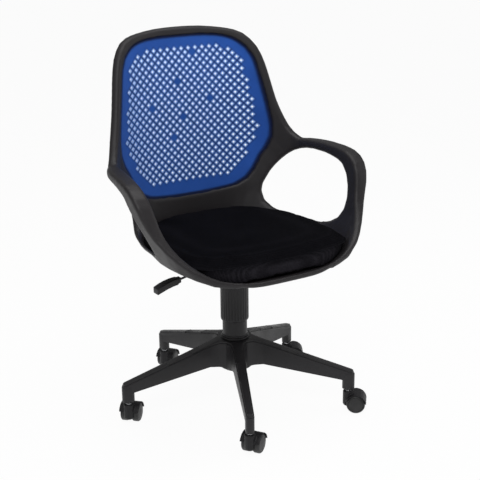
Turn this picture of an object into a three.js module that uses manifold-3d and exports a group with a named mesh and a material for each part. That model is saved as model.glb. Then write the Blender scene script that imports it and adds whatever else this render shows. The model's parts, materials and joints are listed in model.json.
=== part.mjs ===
// Swivel office chair with a one-piece moulded back, arms and seat shell.
// Millimetres, +Z up, floor at z = 0, column axis on x = y = 0, the sitter faces -Y.

import * as THREE from 'three';
import { mergeVertices } from 'three/addons/utils/BufferGeometryUtils.js';
import Module from 'manifold-3d';

const wasm = await Module();
wasm.setup();

// ---------- Driving dimensions ----------

const gap = 0.3; // between pieces that touch
const over = 2; // how far a cutter runs past the face it opens
const shortest = 0.06; // edges shorter than this are collapsed after a cut
const facet = 24; // spacing of points along the shell's curved edges

const star = {
  legs: 5,
  phase: -115.4, // degrees, direction of the first leg
  stemCircle: 290, // radius on which the casters stand
  postClearance: 6, // from a caster's hood up to the leg's foot
  postLength: 31, // along the leg
  postWidth: 21,
  socketDepth: 42,
  hubTop: 180,
  hubBottom: 97,
  hubRadius: 52,
  rootHalfWidth: 13,
  tipHalfWidth: 10,
  crestStep: 2.5, // the raised flat along a leg's top stands in from its sides
  crestHeight: 5,
  filletStart: 76, // radius at which a leg leaves the hub web
  tipTop: 108,
  tipUnder: 83,
  rootUnder: 114,
  wall: 3.5,
  ribs: [120, 185], // radii of the cross ribs under a leg
  ribWidth: 2.5,
};

const caster = {
  headings: [33, -40, -31, 36, 45], // degrees, the way each caster trails
  trail: 20,
  wheelRadius: 23.5,
  wheelWidth: 17,
  webWidth: 12,
  axleRadius: 4,
  stemRadius: 5.5,
  flangeRadius: 8,
  hoodWall: 2,
  hoodRise: 4, // of the hood's neck above its fender
  neckRadius: 13.5,
  wellGap: 1,
  hoodRear: 6, // degrees above the axle at which the hood ends
};

const column = {
  tubeRadius: 25,
  tubeWall: 2,
  tubeTop: 312,
  cylinderRadius: 14,
  cylinderTop: 380,
  cylinderBottom: 145,
  boreTop: 334,
  rodRadius: 5,
  rodTop: 300,
  buttonRadius: 4,
  buttonTop: 386.4,
  coverClearance: 3.8, // from the tube to the lower cover
  lowerCoverTop: 333,
  sleeveClearance: 1.4, // from the lower cover to the fluted sleeve
  upperCoverBottom: 229,
  upperCoverTop: 371,
  coverWall: 2.2,
  flutes: 20,
  fluteDepth: 0.9,
};

const seat = {
  frontReach: 143, // from the widest line forward to the front rim
  floorTop: 404,
  floorThickness: 5,
  sideRimTop: 452,
  frontRimTop: 412,
  sideRimDepth: 16,
  frontRimDepth: 15,
  sideToe: 86,
  frontToe: 42,
  cornerInset: 14,
  boardThickness: 9,
  boardScale: 0.55, // of the rim's plan
  cushionEdgeTop: 447,
  cushionCrown: 17,
  cushionRearLift: 19,
  cushionInset: 4.5,
};

const shell = {
  widest: -100, // y of the widest line
  armHalfWidth: 302,
  armLevel: 640,
  narrowing: 102, // how much narrower each side is at the rim level than at the arms
  narrowingLevel: 395,
  narrowingPower: 1.85,
  backY: 223, // y of the back's mid surface at arm level
  backLean: 0.06,
  crestCurve: 5e-4,
  crestStart: 740,
  rearPower: 2.8,
  frontPower: 3.2,
  thickness: 22,
  armThickness: 39,
  rimThickness: 8,
  edgeRound: 5,
  legOutset: 5.5,
  jambSplay: 10,
  grooveDepth: 7,
  grooveLip: 4.4, // of the hoop in front of the groove
  grooveClearance: 0.6,
};

const panel = { thickness: 4, fabric: 1.2 };

const plate = {
  length: 190,
  width: 150,
  thickness: 3,
  corner: 14,
  boltX: 76,
  boltY: 58,
  boltRadius: 3,
  channelHalfWidth: 37,
  channelWall: 3,
  channelBottom: 373,
  socketRadius: 18,
  socketBottom: 350,
  socketTop: 384,
};

const lever = {
  pivotX: -26,
  pinRadius: 2.5,
  rodRadius: 4,
  tongueLength: 34,
  tongueWidth: 10,
  tongueThickness: 4,
  gripStartX: -150,
  gripEndX: -227,
  gripWidth: 25,
  gripThickness: 13,
  slope: 0.2, // fall of the rod per unit of its run
};

const colours = {
  shell: { color: 0x2b292b, roughness: 0.55, metalness: 0 },
  nylon: { color: 0x242326, roughness: 0.45, metalness: 0 },
  rubber: { color: 0x1b1b1d, roughness: 0.6, metalness: 0 },
  steel: { color: 0xb9bcc0, roughness: 0.25, metalness: 1 },
  blackSteel: { color: 0x1d1d1f, roughness: 0.4, metalness: 0.6 },
  blue: { color: 0x2350ab, roughness: 0.7, metalness: 0 },
  fabric: { color: 0x0c0c0e, roughness: 0.9, metalness: 0 },
  wood: { color: 0xa9865a, roughness: 0.8, metalness: 0 },
};

// ---------- Sizes that follow from them ----------

const hoodTop = 2 * caster.wheelRadius + caster.wellGap + caster.hoodWall + caster.hoodRise;
const postBottom = hoodTop + star.postClearance;
const lowerCoverRadius = column.tubeRadius + column.coverClearance + column.coverWall;
const sleeveBore = lowerCoverRadius + column.sleeveClearance;
const upperCoverRadius = sleeveBore + column.coverWall + column.fluteDepth;

// ---------- Solids ----------

function welded(geometry) {
  const bare = new THREE.BufferGeometry();
  bare.setAttribute('position', geometry.getAttribute('position'));
  if (geometry.index) bare.setIndex(geometry.index);
  const merged = mergeVertices(bare, 1e-4);
  const kept = [];
  const index = merged.index.array;
  for (let i = 0; i < index.length; i += 3) {
    const [a, b, c] = [index[i], index[i + 1], index[i + 2]];
    if (a !== b && b !== c && c !== a) kept.push(a, b, c);
  }
  merged.setIndex(kept);
  return merged;
}

function toSolid(geometry) {
  const mesh = welded(geometry);
  return new wasm.Manifold(new wasm.Mesh({
    numProp: 3,
    vertProperties: new Float32Array(mesh.getAttribute('position').array),
    triVerts: new Uint32Array(mesh.index.array),
  }));
}

function toGeometry(solid) {
  const mesh = solid.getMesh();
  const geometry = new THREE.BufferGeometry();
  const position = new Float32Array(mesh.numVert * 3);
  for (let i = 0; i < mesh.numVert; i += 1) {
    for (let k = 0; k < 3; k += 1) position[3 * i + k] = mesh.vertProperties[mesh.numProp * i + k];
  }
  geometry.setAttribute('position', new THREE.BufferAttribute(position, 3));
  geometry.setIndex([...mesh.triVerts]);
  return collapsed(geometry);
}

// Draws the ends of every very short edge together.
function collapsed(geometry) {
  const position = geometry.getAttribute('position');
  const index = [...geometry.index.array];
  const into = Array.from({ length: position.count }, (_, i) => i);
  const root = (i) => {
    let at = i;
    while (into[at] !== at) at = into[at];
    return at;
  };
  const [p, q] = [new THREE.Vector3(), new THREE.Vector3()];
  for (let i = 0; i < index.length; i += 1) {
    const [a, b] = [index[i], index[i % 3 === 2 ? i - 2 : i + 1]];
    p.fromBufferAttribute(position, a);
    q.fromBufferAttribute(position, b);
    if (p.distanceTo(q) < shortest) into[Math.max(root(a), root(b))] = Math.min(root(a), root(b));
  }
  geometry.setIndex(index.map(root));
  return welded(geometry);
}

function combine(operation, first, rest) {
  let solid = toSolid(first);
  for (const other of rest) solid = solid[operation](toSolid(other));
  return toGeometry(solid);
}

const join = (first, ...rest) => combine('add', first, rest);
const cut = (first, ...rest) => combine('subtract', first, rest);
const common = (first, ...rest) => combine('intersect', first, rest);

// A solid of revolution about Z from [radius, height] pairs, anticlockwise round the section.
function turned(profile, segments = 32) {
  const points = profile.map(([r, z]) => new THREE.Vector2(r, z));
  return new THREE.LatheGeometry(points, segments).rotateX(Math.PI / 2);
}

// The same with a profile that closes on itself, for rings and tubes.
function ring(profile, segments = 32) {
  return turned([...profile, profile[0]], segments);
}

function cylinder(radius, low, high, segments = 24) {
  return turned([[0, low], [radius, low], [radius, high], [0, high]], segments);
}

function prism(shape, low, high, curveSegments = 8) {
  const options = { depth: high - low, bevelEnabled: false, curveSegments };
  return new THREE.ExtrudeGeometry(shape, options).translate(0, 0, low);
}

// A prism along Y from a shape drawn in the X-Z plane.
function sideways(shape, low, high, curveSegments = 8) {
  return prism(shape, -high, -low, curveSegments).rotateX(Math.PI / 2);
}

function box(x0, x1, y0, y1, z0, z1) {
  return new THREE.BoxGeometry(x1 - x0, y1 - y0, z1 - z0)
    .translate((x0 + x1) / 2, (y0 + y1) / 2, (z0 + z1) / 2);
}

function roundedRectangle(length, width, corner) {
  const [x, y] = [length / 2, width / 2];
  const shape = new THREE.Shape();
  shape.moveTo(-x + corner, -y);
  shape.lineTo(x - corner, -y);
  shape.absarc(x - corner, -y + corner, corner, -Math.PI / 2, 0);
  shape.lineTo(x, y - corner);
  shape.absarc(x - corner, y - corner, corner, 0, Math.PI / 2);
  shape.lineTo(-x + corner, y);
  shape.absarc(-x + corner, y - corner, corner, Math.PI / 2, Math.PI);
  shape.lineTo(-x, -y + corner);
  shape.absarc(-x + corner, -y + corner, corner, Math.PI, 1.5 * Math.PI);
  return shape;
}

const radians = (degrees) => THREE.MathUtils.degToRad(degrees);
const ease = (value, low, high) => THREE.MathUtils.smoothstep(value, low, high);

function named(name, geometry, finish) {
  const mesh = new THREE.Mesh(geometry, new THREE.MeshStandardMaterial(finish));
  mesh.name = name;
  return mesh;
}

const chair = new THREE.Group();

// ---------- Star base ----------

// Plan of the five legs with concave webs between them, each leg ending at a given radius.
function starPlan(inset, tipRadius) {
  const root = star.rootHalfWidth - inset;
  const tip = star.tipHalfWidth - inset;
  const step = (2 * Math.PI) / star.legs;
  const place = (angle, along, across) => [
    along * Math.cos(angle) - across * Math.sin(angle),
    along * Math.sin(angle) + across * Math.cos(angle),
  ];
  const shape = new THREE.Shape();
  for (let leg = 0; leg < star.legs; leg += 1) {
    const angle = radians(star.phase) + leg * step;
    const start = place(angle, star.filletStart, -root);
    if (leg === 0) shape.moveTo(...start);
    shape.lineTo(...place(angle, tipRadius - tip, -tip));
    shape.quadraticCurveTo(...place(angle, tipRadius, -tip), ...place(angle, tipRadius, 0));
    shape.quadraticCurveTo(...place(angle, tipRadius, tip), ...place(angle, tipRadius - tip, tip));
    shape.lineTo(...place(angle, star.filletStart, root));
    const meet = root / Math.sin(step / 2);
    const between = angle + step / 2;
    shape.quadraticCurveTo(
      meet * Math.cos(between), meet * Math.sin(between),
      ...place(angle + step, star.filletStart, -root),
    );
  }
  return shape;
}

function legTop(radius) {
  const run = star.stemCircle + star.postLength / 2 - star.hubRadius;
  return star.hubTop - ((star.hubTop - star.tipTop) * (radius - star.hubRadius)) / run;
}

function legUnder(radius) {
  const run = star.stemCircle - star.filletStart;
  return star.rootUnder - ((star.rootUnder - star.tipUnder) * (radius - star.filletStart)) / run;
}

function starBase() {
  const reach = star.stemCircle + star.postLength / 2 - 1;
  const segments = 20;
  const outside = turned([
    [0, star.hubBottom],
    [36, star.hubBottom],
    [50, star.rootUnder - 3],
    [star.filletStart, star.rootUnder],
    [reach + over, legUnder(reach + over)],
    [reach + over, legTop(reach + over)],
    [star.hubRadius, star.hubTop],
    [0, star.hubTop],
  ], segments);
  const blank = common(prism(starPlan(0, reach), 0, star.hubTop + over, 4), outside);
  const below = turned([
    [0, 0],
    [reach + over, 0],
    [reach + over, legTop(reach + over) - star.crestHeight],
    [star.hubRadius, star.hubTop - star.crestHeight],
    [0, star.hubTop - star.crestHeight],
  ], segments);
  const crest = prism(starPlan(star.crestStep, reach - star.crestStep), 0, star.hubTop + over, 4);
  const legs = join(common(blank, below), common(blank, crest));

  const hollowEnd = star.stemCircle - star.postLength / 2 - star.wall;
  const hubTube = column.tubeRadius + 6;
  const inside = ring([
    [hubTube, star.hubBottom - over],
    [hollowEnd, star.hubBottom - 40],
    [hollowEnd, legTop(hollowEnd) - star.wall],
    [star.hubRadius, star.hubTop - star.wall - 1],
    [hubTube, star.hubTop - star.wall - 1],
  ], segments);
  const hollow = common(prism(starPlan(star.wall, hollowEnd), 0, star.hubTop, 4), inside);

  const post = roundedRectangle(star.postLength, star.postWidth, star.postWidth / 2 - 0.5);
  let base = cut(legs, hollow);
  for (let leg = 0; leg < star.legs; leg += 1) {
    const angle = radians(star.phase) + (leg * 2 * Math.PI) / star.legs;
    const pieces = star.ribs.map((radius) => box(
      radius, radius + star.ribWidth,
      -star.rootHalfWidth + star.wall - 1, star.rootHalfWidth - star.wall + 1,
      legUnder(radius) + 4, legTop(radius) - 1,
    ));
    pieces.push(prism(post, postBottom, star.tipTop - 8, 2).translate(star.stemCircle, 0, 0));
    const socket = cylinder(
      caster.stemRadius + gap, postBottom - over, postBottom + star.socketDepth, 10,
    ).translate(star.stemCircle, 0, 0);
    base = cut(join(base, ...pieces.map((piece) => piece.rotateZ(angle))), socket.rotateZ(angle));
  }
  return cut(base, cylinder(column.tubeRadius + gap, 0, star.hubTop + over, 24));
}

chair.add(named('star_base', starBase(), colours.nylon));

// ---------- Casters ----------

const wheelInner = caster.webWidth / 2 + 0.8;
const wheelOuter = wheelInner + caster.wheelWidth;

// A wheel with its axis on Y, its cap on the outer side.
function wheelGeometry() {
  const rim = caster.wheelRadius;
  return turned([
    [0, wheelOuter - 3.5],
    [caster.axleRadius + gap, wheelOuter - 3.5],
    [caster.axleRadius + gap, wheelInner],
    [rim, wheelInner],
    [rim, wheelOuter - 3],
    [rim - 3, wheelOuter - 0.6],
    [0, wheelOuter + 0.6],
  ], 16).rotateX(-Math.PI / 2);
}

function hoodGeometry() {
  const centre = [caster.trail, caster.wheelRadius];
  const well = caster.wheelRadius + caster.wellGap;
  const outer = well + caster.hoodWall;
  const front = Math.PI * 0.9;
  const rear = radians(caster.hoodRear);

  const fender = new THREE.Shape();
  fender.absarc(...centre, outer, rear, front, false);
  fender.absarc(...centre, well, front, rear, true);
  const width = wheelOuter + 1;

  const web = new THREE.Shape();
  web.absarc(...centre, well + 1, rear, Math.PI * 0.72, false);
  web.lineTo(-caster.neckRadius + 2, hoodTop - 8);
  web.lineTo(-caster.neckRadius + 2, 17);
  web.lineTo(caster.trail - 8, 5.5);
  web.absarc(...centre, caster.wheelRadius - 6, -Math.PI * 0.55, rear, false);

  const neck = turned([
    [0, 14],
    [caster.neckRadius - 3, 14],
    [caster.neckRadius, 18],
    [caster.neckRadius, hoodTop - 1.5],
    [caster.neckRadius - 1.5, hoodTop],
    [0, hoodTop],
  ], 12);
  const body = join(
    sideways(fender, -width, width, 4),
    sideways(web, -caster.webWidth / 2, caster.webWidth / 2, 4),
    neck,
  );
  const wellSide = (side) => cylinder(well, wheelInner - 0.6, wheelOuter + 6, 16)
    .rotateX(-side * (Math.PI / 2)).translate(caster.trail, 0, caster.wheelRadius);
  const axleHole = cylinder(caster.axleRadius + gap, -30, 30, 8)
    .rotateX(Math.PI / 2).translate(caster.trail, 0, caster.wheelRadius);
  const stemHole = cylinder(caster.stemRadius + gap, 30 - gap, hoodTop + over, 10);
  return cut(body, wellSide(1), wellSide(-1), axleHole, stemHole);
}

function stemGeometry() {
  const top = postBottom + star.socketDepth - 1;
  return turned([
    [0, 30],
    [caster.stemRadius, 30],
    [caster.stemRadius, hoodTop + gap],
    [caster.flangeRadius, hoodTop + gap],
    [caster.flangeRadius, hoodTop + 2.3],
    [caster.stemRadius, hoodTop + 3],
    [caster.stemRadius, top - 1.5],
    [caster.stemRadius - 1.5, top],
    [0, top],
  ], 10);
}

const hoodShape = hoodGeometry();
const stemShape = stemGeometry();
const wheelShape = wheelGeometry();
const axleLength = 2 * (wheelOuter - 3.5) - 1;
const axleShape = cylinder(caster.axleRadius, -axleLength / 2, axleLength / 2, 8).rotateX(Math.PI / 2);

for (let leg = 0; leg < star.legs; leg += 1) {
  const angle = radians(star.phase) + (leg * 2 * Math.PI) / star.legs;
  const unit = new THREE.Group();
  unit.position.set(star.stemCircle * Math.cos(angle), star.stemCircle * Math.sin(angle), 0);
  unit.rotation.z = radians(caster.headings[leg]);
  const label = `caster_${leg + 1}`;
  unit.add(named(`${label}_hood`, hoodShape, colours.nylon));
  unit.add(named(`${label}_stem`, stemShape, colours.steel));
  const running = new THREE.Group();
  running.position.set(caster.trail, 0, caster.wheelRadius);
  running.add(named(`${label}_axle`, axleShape, colours.steel));
  const left = named(`${label}_wheel_left`, wheelShape, colours.rubber);
  const right = named(`${label}_wheel_right`, wheelShape, colours.rubber);
  right.rotation.x = Math.PI;
  running.add(left, right);
  unit.add(running);
  chair.add(unit);
}

// ---------- Gas spring column ----------

function addColumn() {
  const { tubeRadius, tubeWall, cylinderRadius, rodRadius } = column;
  const tubeBottom = star.hubBottom - 2;
  const bore = tubeRadius - tubeWall;

  chair.add(named('column_tube', ring([
    [rodRadius + gap, tubeBottom],
    [tubeRadius, tubeBottom],
    [tubeRadius, column.tubeTop],
    [bore, column.tubeTop],
    [bore, tubeBottom + 3],
    [rodRadius + gap, tubeBottom + 3],
  ], 24), colours.blackSteel));

  const bushBottom = column.tubeTop - 80;
  chair.add(named('guide_bush', ring([
    [cylinderRadius + gap, bushBottom],
    [bore - gap, bushBottom],
    [bore - gap, column.tubeTop + gap],
    [tubeRadius - 0.5, column.tubeTop + gap],
    [tubeRadius - 0.5, column.tubeTop + 3],
    [cylinderRadius + gap, column.tubeTop + 3],
  ], 20), colours.nylon));

  const bearingBottom = tubeBottom + 3 + gap;
  const bearingTop = bearingBottom + 8;
  chair.add(named('thrust_bearing', ring([
    [rodRadius + gap, bearingBottom],
    [12, bearingBottom],
    [12, bearingBottom + 2.5],
    [10.5, (bearingBottom + bearingTop) / 2],
    [12, bearingTop - 2.5],
    [12, bearingTop],
    [rodRadius + gap, bearingTop],
  ], 16), colours.steel));

  const clipLow = tubeBottom - 4;
  chair.add(named('piston_rod', turned([
    [0, clipLow - 2],
    [rodRadius - 1, clipLow - 2],
    [rodRadius - 1, clipLow + 2],
    [rodRadius, clipLow + 2],
    [rodRadius, bearingTop + gap],
    [rodRadius + 3, bearingTop + gap],
    [rodRadius + 3, bearingTop + 3],
    [rodRadius, bearingTop + 3],
    [rodRadius, column.rodTop],
    [0, column.rodTop],
  ], 12), colours.steel));
  chair.add(named('retaining_clip', ring([
    [rodRadius - 1 + gap, clipLow],
    [rodRadius + 4, clipLow],
    [rodRadius + 4, clipLow + 1.5],
    [rodRadius - 1 + gap, clipLow + 1.5],
  ], 12), colours.steel));

  chair.add(named('gas_cylinder', turned([
    [0, column.boreTop],
    [rodRadius + gap, column.boreTop],
    [rodRadius + gap, column.cylinderBottom],
    [cylinderRadius - 1, column.cylinderBottom],
    [cylinderRadius, column.cylinderBottom + 1],
    [cylinderRadius, plate.socketBottom - 4],
    [cylinderRadius - 1.2, column.cylinderTop],
    [column.buttonRadius + gap, column.cylinderTop],
    [column.buttonRadius + gap, column.cylinderTop - 12],
    [0, column.cylinderTop - 12],
  ], 20), colours.blackSteel));
  const buttonBottom = column.cylinderTop - 12 + 4;
  chair.add(named('release_button', turned([
    [0, buttonBottom],
    [column.buttonRadius, buttonBottom],
    [column.buttonRadius, column.buttonTop - 1],
    [column.buttonRadius - 1.5, column.buttonTop],
    [0, column.buttonTop],
  ], 12), colours.steel));

  const coverBore = tubeRadius + column.coverClearance;
  chair.add(named('lower_cover', ring([
    [tubeRadius + gap, star.hubTop + gap],
    [upperCoverRadius - 1.5, star.hubTop + gap],
    [upperCoverRadius, star.hubTop + 2.5],
    [upperCoverRadius, star.hubTop + 8],
    [lowerCoverRadius, star.hubTop + 11],
    [lowerCoverRadius, column.lowerCoverTop],
    [coverBore, column.lowerCoverTop],
    [coverBore, star.hubTop + 8],
    [tubeRadius + gap, star.hubTop + 6],
  ], 24), colours.nylon));
  chair.add(named('upper_cover', upperCover(), colours.nylon));
}

// A fluted sleeve, chamfered at its lower edge, with a top that fits round the taper socket.
function upperCover() {
  const outer = upperCoverRadius;
  const outline = new THREE.Shape();
  const points = 2 * column.flutes;
  for (let i = 0; i < points; i += 1) {
    const angle = (i * 2 * Math.PI) / points;
    const radius = outer - (i % 2) * column.fluteDepth;
    const point = [radius * Math.cos(angle), radius * Math.sin(angle)];
    if (i === 0) outline.moveTo(...point);
    else outline.lineTo(...point);
  }
  const sleeve = prism(outline, column.upperCoverBottom, column.upperCoverTop);
  const envelope = turned([
    [0, column.upperCoverBottom],
    [outer - 2, column.upperCoverBottom],
    [outer + 0.2, column.upperCoverBottom + 4],
    [outer + 0.2, column.upperCoverTop - 1.5],
    [outer - 1.5, column.upperCoverTop],
    [0, column.upperCoverTop],
  ], 40);
  const bore = turned([
    [0, column.upperCoverBottom - over],
    [sleeveBore, column.upperCoverBottom - over],
    [sleeveBore, column.upperCoverTop - 3],
    [plate.socketRadius + gap, column.upperCoverTop - 3],
    [plate.socketRadius + gap, column.upperCoverTop + over],
    [0, column.upperCoverTop + over],
  ], 24);
  return cut(common(sleeve, envelope), bore);
}

addColumn();

// ---------- Seat plate, socket and height lever ----------

const floorUnder = seat.floorTop - seat.floorThickness;
const plateTop = floorUnder - gap;
const plateBottom = plateTop - plate.thickness;
const channelTop = plateBottom - gap;
const pivotZ = column.buttonTop + 0.6 + lever.tongueThickness / 2;
const boltHoles = [[1, 1], [-1, 1], [-1, -1], [1, -1]]
  .map(([x, y]) => [x * plate.boltX, y * plate.boltY]);

function addMechanism() {
  const hole = (radius, low, high) => ([x, y]) => cylinder(radius, low, high, 8).translate(x, y, 0);
  const sheet = prism(
    roundedRectangle(plate.length, plate.width, plate.corner), plateBottom, plateTop, 3,
  );
  chair.add(named('seat_plate', cut(
    sheet, ...boltHoles.map(hole(plate.boltRadius + gap, plateBottom - over, plateTop + over)),
  ), colours.blackSteel));

  const half = plate.channelHalfWidth;
  const wall = plate.channelWall;
  const ends = plate.width / 2 - 6;
  const trough = cut(
    box(-half, half, -ends, ends, plate.channelBottom, channelTop),
    box(-half + wall, half - wall, -ends - over, ends + over, plate.channelBottom + wall, channelTop + over),
  );
  const earX = lever.pivotX;
  const ear = (side) => box(
    earX - 6, earX + 6,
    Math.min(side * 8, side * 11), Math.max(side * 8, side * 11),
    plate.channelBottom + wall - 1, channelTop - 0.5,
  );
  const slot = box(-half - over, -half + wall + over, -6, 6, pivotZ - 13, pivotZ + 5);
  const pinHole = cylinder(lever.pinRadius + gap, -20, 20, 12)
    .rotateX(Math.PI / 2).translate(earX, 0, pivotZ);
  const socketHole = cylinder(
    plate.socketRadius + gap, plate.channelBottom - over, plate.channelBottom + wall + over, 20,
  );
  chair.add(named('mechanism_channel', cut(
    join(trough, ear(1), ear(-1)), slot, pinHole, socketHole,
  ), colours.blackSteel));

  const bore = column.cylinderRadius + gap;
  const { socketRadius, socketBottom, socketTop } = plate;
  chair.add(named('taper_socket', ring([
    [bore, socketBottom],
    [socketRadius, socketBottom],
    [socketRadius, socketTop],
    [bore - 1.2, socketTop],
  ], 20), colours.blackSteel));

  chair.add(named('lever_pin', cylinder(lever.pinRadius, -13, 13, 12)
    .rotateX(Math.PI / 2).translate(lever.pivotX, 0, pivotZ), colours.steel));
  chair.add(named('lever_rod', leverRod(), colours.blackSteel));
  chair.add(named('lever_grip', leverGrip(), colours.nylon));

  boltHoles.forEach(([x, y], i) => {
    const headTop = plateBottom - gap;
    const top = seat.floorTop + gap + seat.boardThickness - 1;
    chair.add(named(`seat_bolt_${i + 1}`, turned([
      [0, headTop - 4],
      [5.2, headTop - 4],
      [6, headTop - 3],
      [6, headTop],
      [plate.boltRadius, headTop],
      [plate.boltRadius, top],
      [0, top],
    ], 8).translate(x, y, 0), colours.steel));
  });
}

const rodFall = (x) => pivotZ - lever.slope * (lever.pivotX - x);

function leverRod() {
  const tongue = box(
    lever.pivotX + 2, lever.pivotX + lever.tongueLength,
    -lever.tongueWidth / 2, lever.tongueWidth / 2,
    pivotZ - lever.tongueThickness / 2, pivotZ + lever.tongueThickness / 2,
  );
  const boss = cylinder(5, -7, 7, 16).rotateX(Math.PI / 2).translate(lever.pivotX, 0, pivotZ);
  const endX = lever.gripStartX - 14;
  const length = Math.hypot(endX - lever.pivotX, rodFall(endX) - pivotZ);
  const rod = cylinder(lever.rodRadius, 0, length, 14)
    .rotateY(-Math.PI / 2 - Math.atan(lever.slope)).translate(lever.pivotX, 0, pivotZ);
  const pinHole = cylinder(lever.pinRadius + gap, -20, 20, 12)
    .rotateX(Math.PI / 2).translate(lever.pivotX, 0, pivotZ);
  return cut(join(boss, tongue, rod), pinHole);
}

// A flat paddle that droops towards its tip, with a socket for the rod.
function leverGrip() {
  const { gripStartX, gripEndX, gripThickness } = lever;
  const middle = (gripStartX + gripEndX) / 2 - 4;
  const half = gripThickness / 2;
  const profile = new THREE.Shape();
  profile.moveTo(gripStartX, rodFall(gripStartX) - half);
  profile.lineTo(gripStartX, rodFall(gripStartX) + half);
  profile.splineThru([
    new THREE.Vector2(middle, rodFall(middle) + half + 1.5),
    new THREE.Vector2(gripEndX, rodFall(gripEndX) - 1),
  ]);
  profile.lineTo(gripEndX + 2, rodFall(gripEndX) - 9);
  profile.splineThru([
    new THREE.Vector2(middle, rodFall(middle) - half),
    new THREE.Vector2(gripStartX, rodFall(gripStartX) - half),
  ]);
  const plan = new THREE.Shape();
  const width = lever.gripWidth / 2;
  plan.moveTo(gripStartX + over, -width + 7);
  plan.lineTo(gripStartX + over, width - 7);
  plan.quadraticCurveTo(gripStartX - 18, width, middle, width);
  plan.lineTo(gripEndX + 8, width - 1);
  plan.quadraticCurveTo(gripEndX - 1, width - 1, gripEndX - 1, width - 8);
  plan.lineTo(gripEndX - 1, -width + 8);
  plan.quadraticCurveTo(gripEndX - 1, -width + 1, gripEndX + 8, -width + 1);
  plan.lineTo(middle, -width);
  plan.quadraticCurveTo(gripStartX - 18, -width, gripStartX + over, -width + 7);
  const blank = common(
    sideways(profile, -width - over, width + over, 6),
    prism(plan, rodFall(gripEndX) - 30, pivotZ, 4),
  );
  const socketEnd = gripStartX - 15;
  const length = Math.hypot(socketEnd - lever.pivotX, rodFall(socketEnd) - pivotZ);
  const socket = cylinder(lever.rodRadius + gap, length - 30, length, 14)
    .rotateY(-Math.PI / 2 - Math.atan(lever.slope)).translate(lever.pivotX, 0, pivotZ);
  return cut(blank, socket);
}

addMechanism();

// ---------- Form of the shell ----------

// Half of a closed egg-shaped plan, as points from the back centre round to the front centre.
function planCurve(halfWidth, rearReach, frontReach) {
  const points = [];
  const steps = 720;
  for (let i = 0; i <= steps; i += 1) {
    const angle = (i * Math.PI) / steps;
    const [side, along] = [Math.sin(angle), Math.cos(angle)];
    const rear = along >= 0;
    const power = rear ? shell.rearPower : shell.frontPower;
    const reach = rear ? rearReach : frontReach;
    const radius = ((side / halfWidth) ** power + Math.abs(along / reach) ** power) ** (-1 / power);
    points.push([radius * side, radius * along]);
  }
  return points;
}

// Looks points up by the distance walked along a plan curve.
function walker(points) {
  const walked = [0];
  for (let i = 1; i < points.length; i += 1) {
    const [dx, dy] = [points[i][0] - points[i - 1][0], points[i][1] - points[i - 1][1]];
    walked.push(walked[i - 1] + Math.hypot(dx, dy));
  }
  const total = walked[walked.length - 1];
  const at = (distance) => {
    const wanted = THREE.MathUtils.clamp(distance, 0, total);
    let low = 0;
    let high = walked.length - 1;
    while (high - low > 1) {
      const middle = (low + high) >> 1;
      if (walked[middle] <= wanted) low = middle;
      else high = middle;
    }
    const part = (wanted - walked[low]) / (walked[high] - walked[low]);
    return [0, 1].map((k) => THREE.MathUtils.lerp(points[low][k], points[high][k], part));
  };
  return { total, at };
}

const formReach = shell.backY - shell.widest;
const form = walker(planCurve(shell.armHalfWidth, formReach, seat.frontReach));

function sideScale(z) {
  const depth = Math.max(0, shell.armLevel - z) / (shell.armLevel - shell.narrowingLevel);
  return (shell.armHalfWidth - shell.narrowing * depth ** shell.narrowingPower) / shell.armHalfWidth;
}

function rearScale(z) {
  const crest = shell.crestCurve * Math.max(0, z - shell.crestStart) ** 2;
  return (formReach + shell.backLean * (z - shell.armLevel) + crest) / formReach;
}

// Mid surface of the shell at a walked distance from the back centre and a height.
function formPoint(distance, z) {
  const [x, y] = form.at(Math.abs(distance));
  return [Math.sign(distance) * x * sideScale(z), shell.widest + (y > 0 ? y * rearScale(z) : y)];
}

// Mid surface point and the horizontal unit normal towards the sitter.
function formFrame(distance, z) {
  const here = formPoint(distance, z);
  const before = formPoint(distance - 1, z);
  const after = formPoint(distance + 1, z);
  const [dx, dy] = [after[0] - before[0], after[1] - before[1]];
  const length = Math.hypot(dx, dy);
  return { here, normal: [dy / length, -dx / length] };
}

// Wall thickness: stout at the arm rests, slim along the seat's side and front rims.
function wallAt(distance, z) {
  const away = Math.abs(distance);
  const rest = ease(away, 290, 380) * ease(z, 455, 600);
  const side = ease(away, 250, 330) * (1 - ease(away, 440, 520)) * (1 - ease(z, 447, 500));
  const stout = shell.thickness + (shell.armThickness - shell.thickness) * rest;
  return THREE.MathUtils.lerp(stout, shell.rimThickness, Math.max(side, ease(away, 620, 700)));
}

// Depths of the shell's two faces: the arm's front leg stands a little outside the form.
function outerFace(distance, z) {
  const away = Math.abs(distance);
  const outset = shell.legOutset * ease(away, 400, 520) * (1 - ease(away, 620, 700));
  return -wallAt(distance, z) / 2 - outset;
}

function innerFace(distance, z) {
  return outerFace(distance, z) + wallAt(distance, z);
}

// How far the outer face of the arm's front leg reaches back past its inner face.
function splayAt(distance, z) {
  const away = Math.abs(distance);
  const level = ease(z, 455, 500) * (1 - ease(z, 575, 625));
  return shell.jambSplay * level * ease(away, 440, 500) * (1 - ease(away, 515, 562));
}

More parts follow.
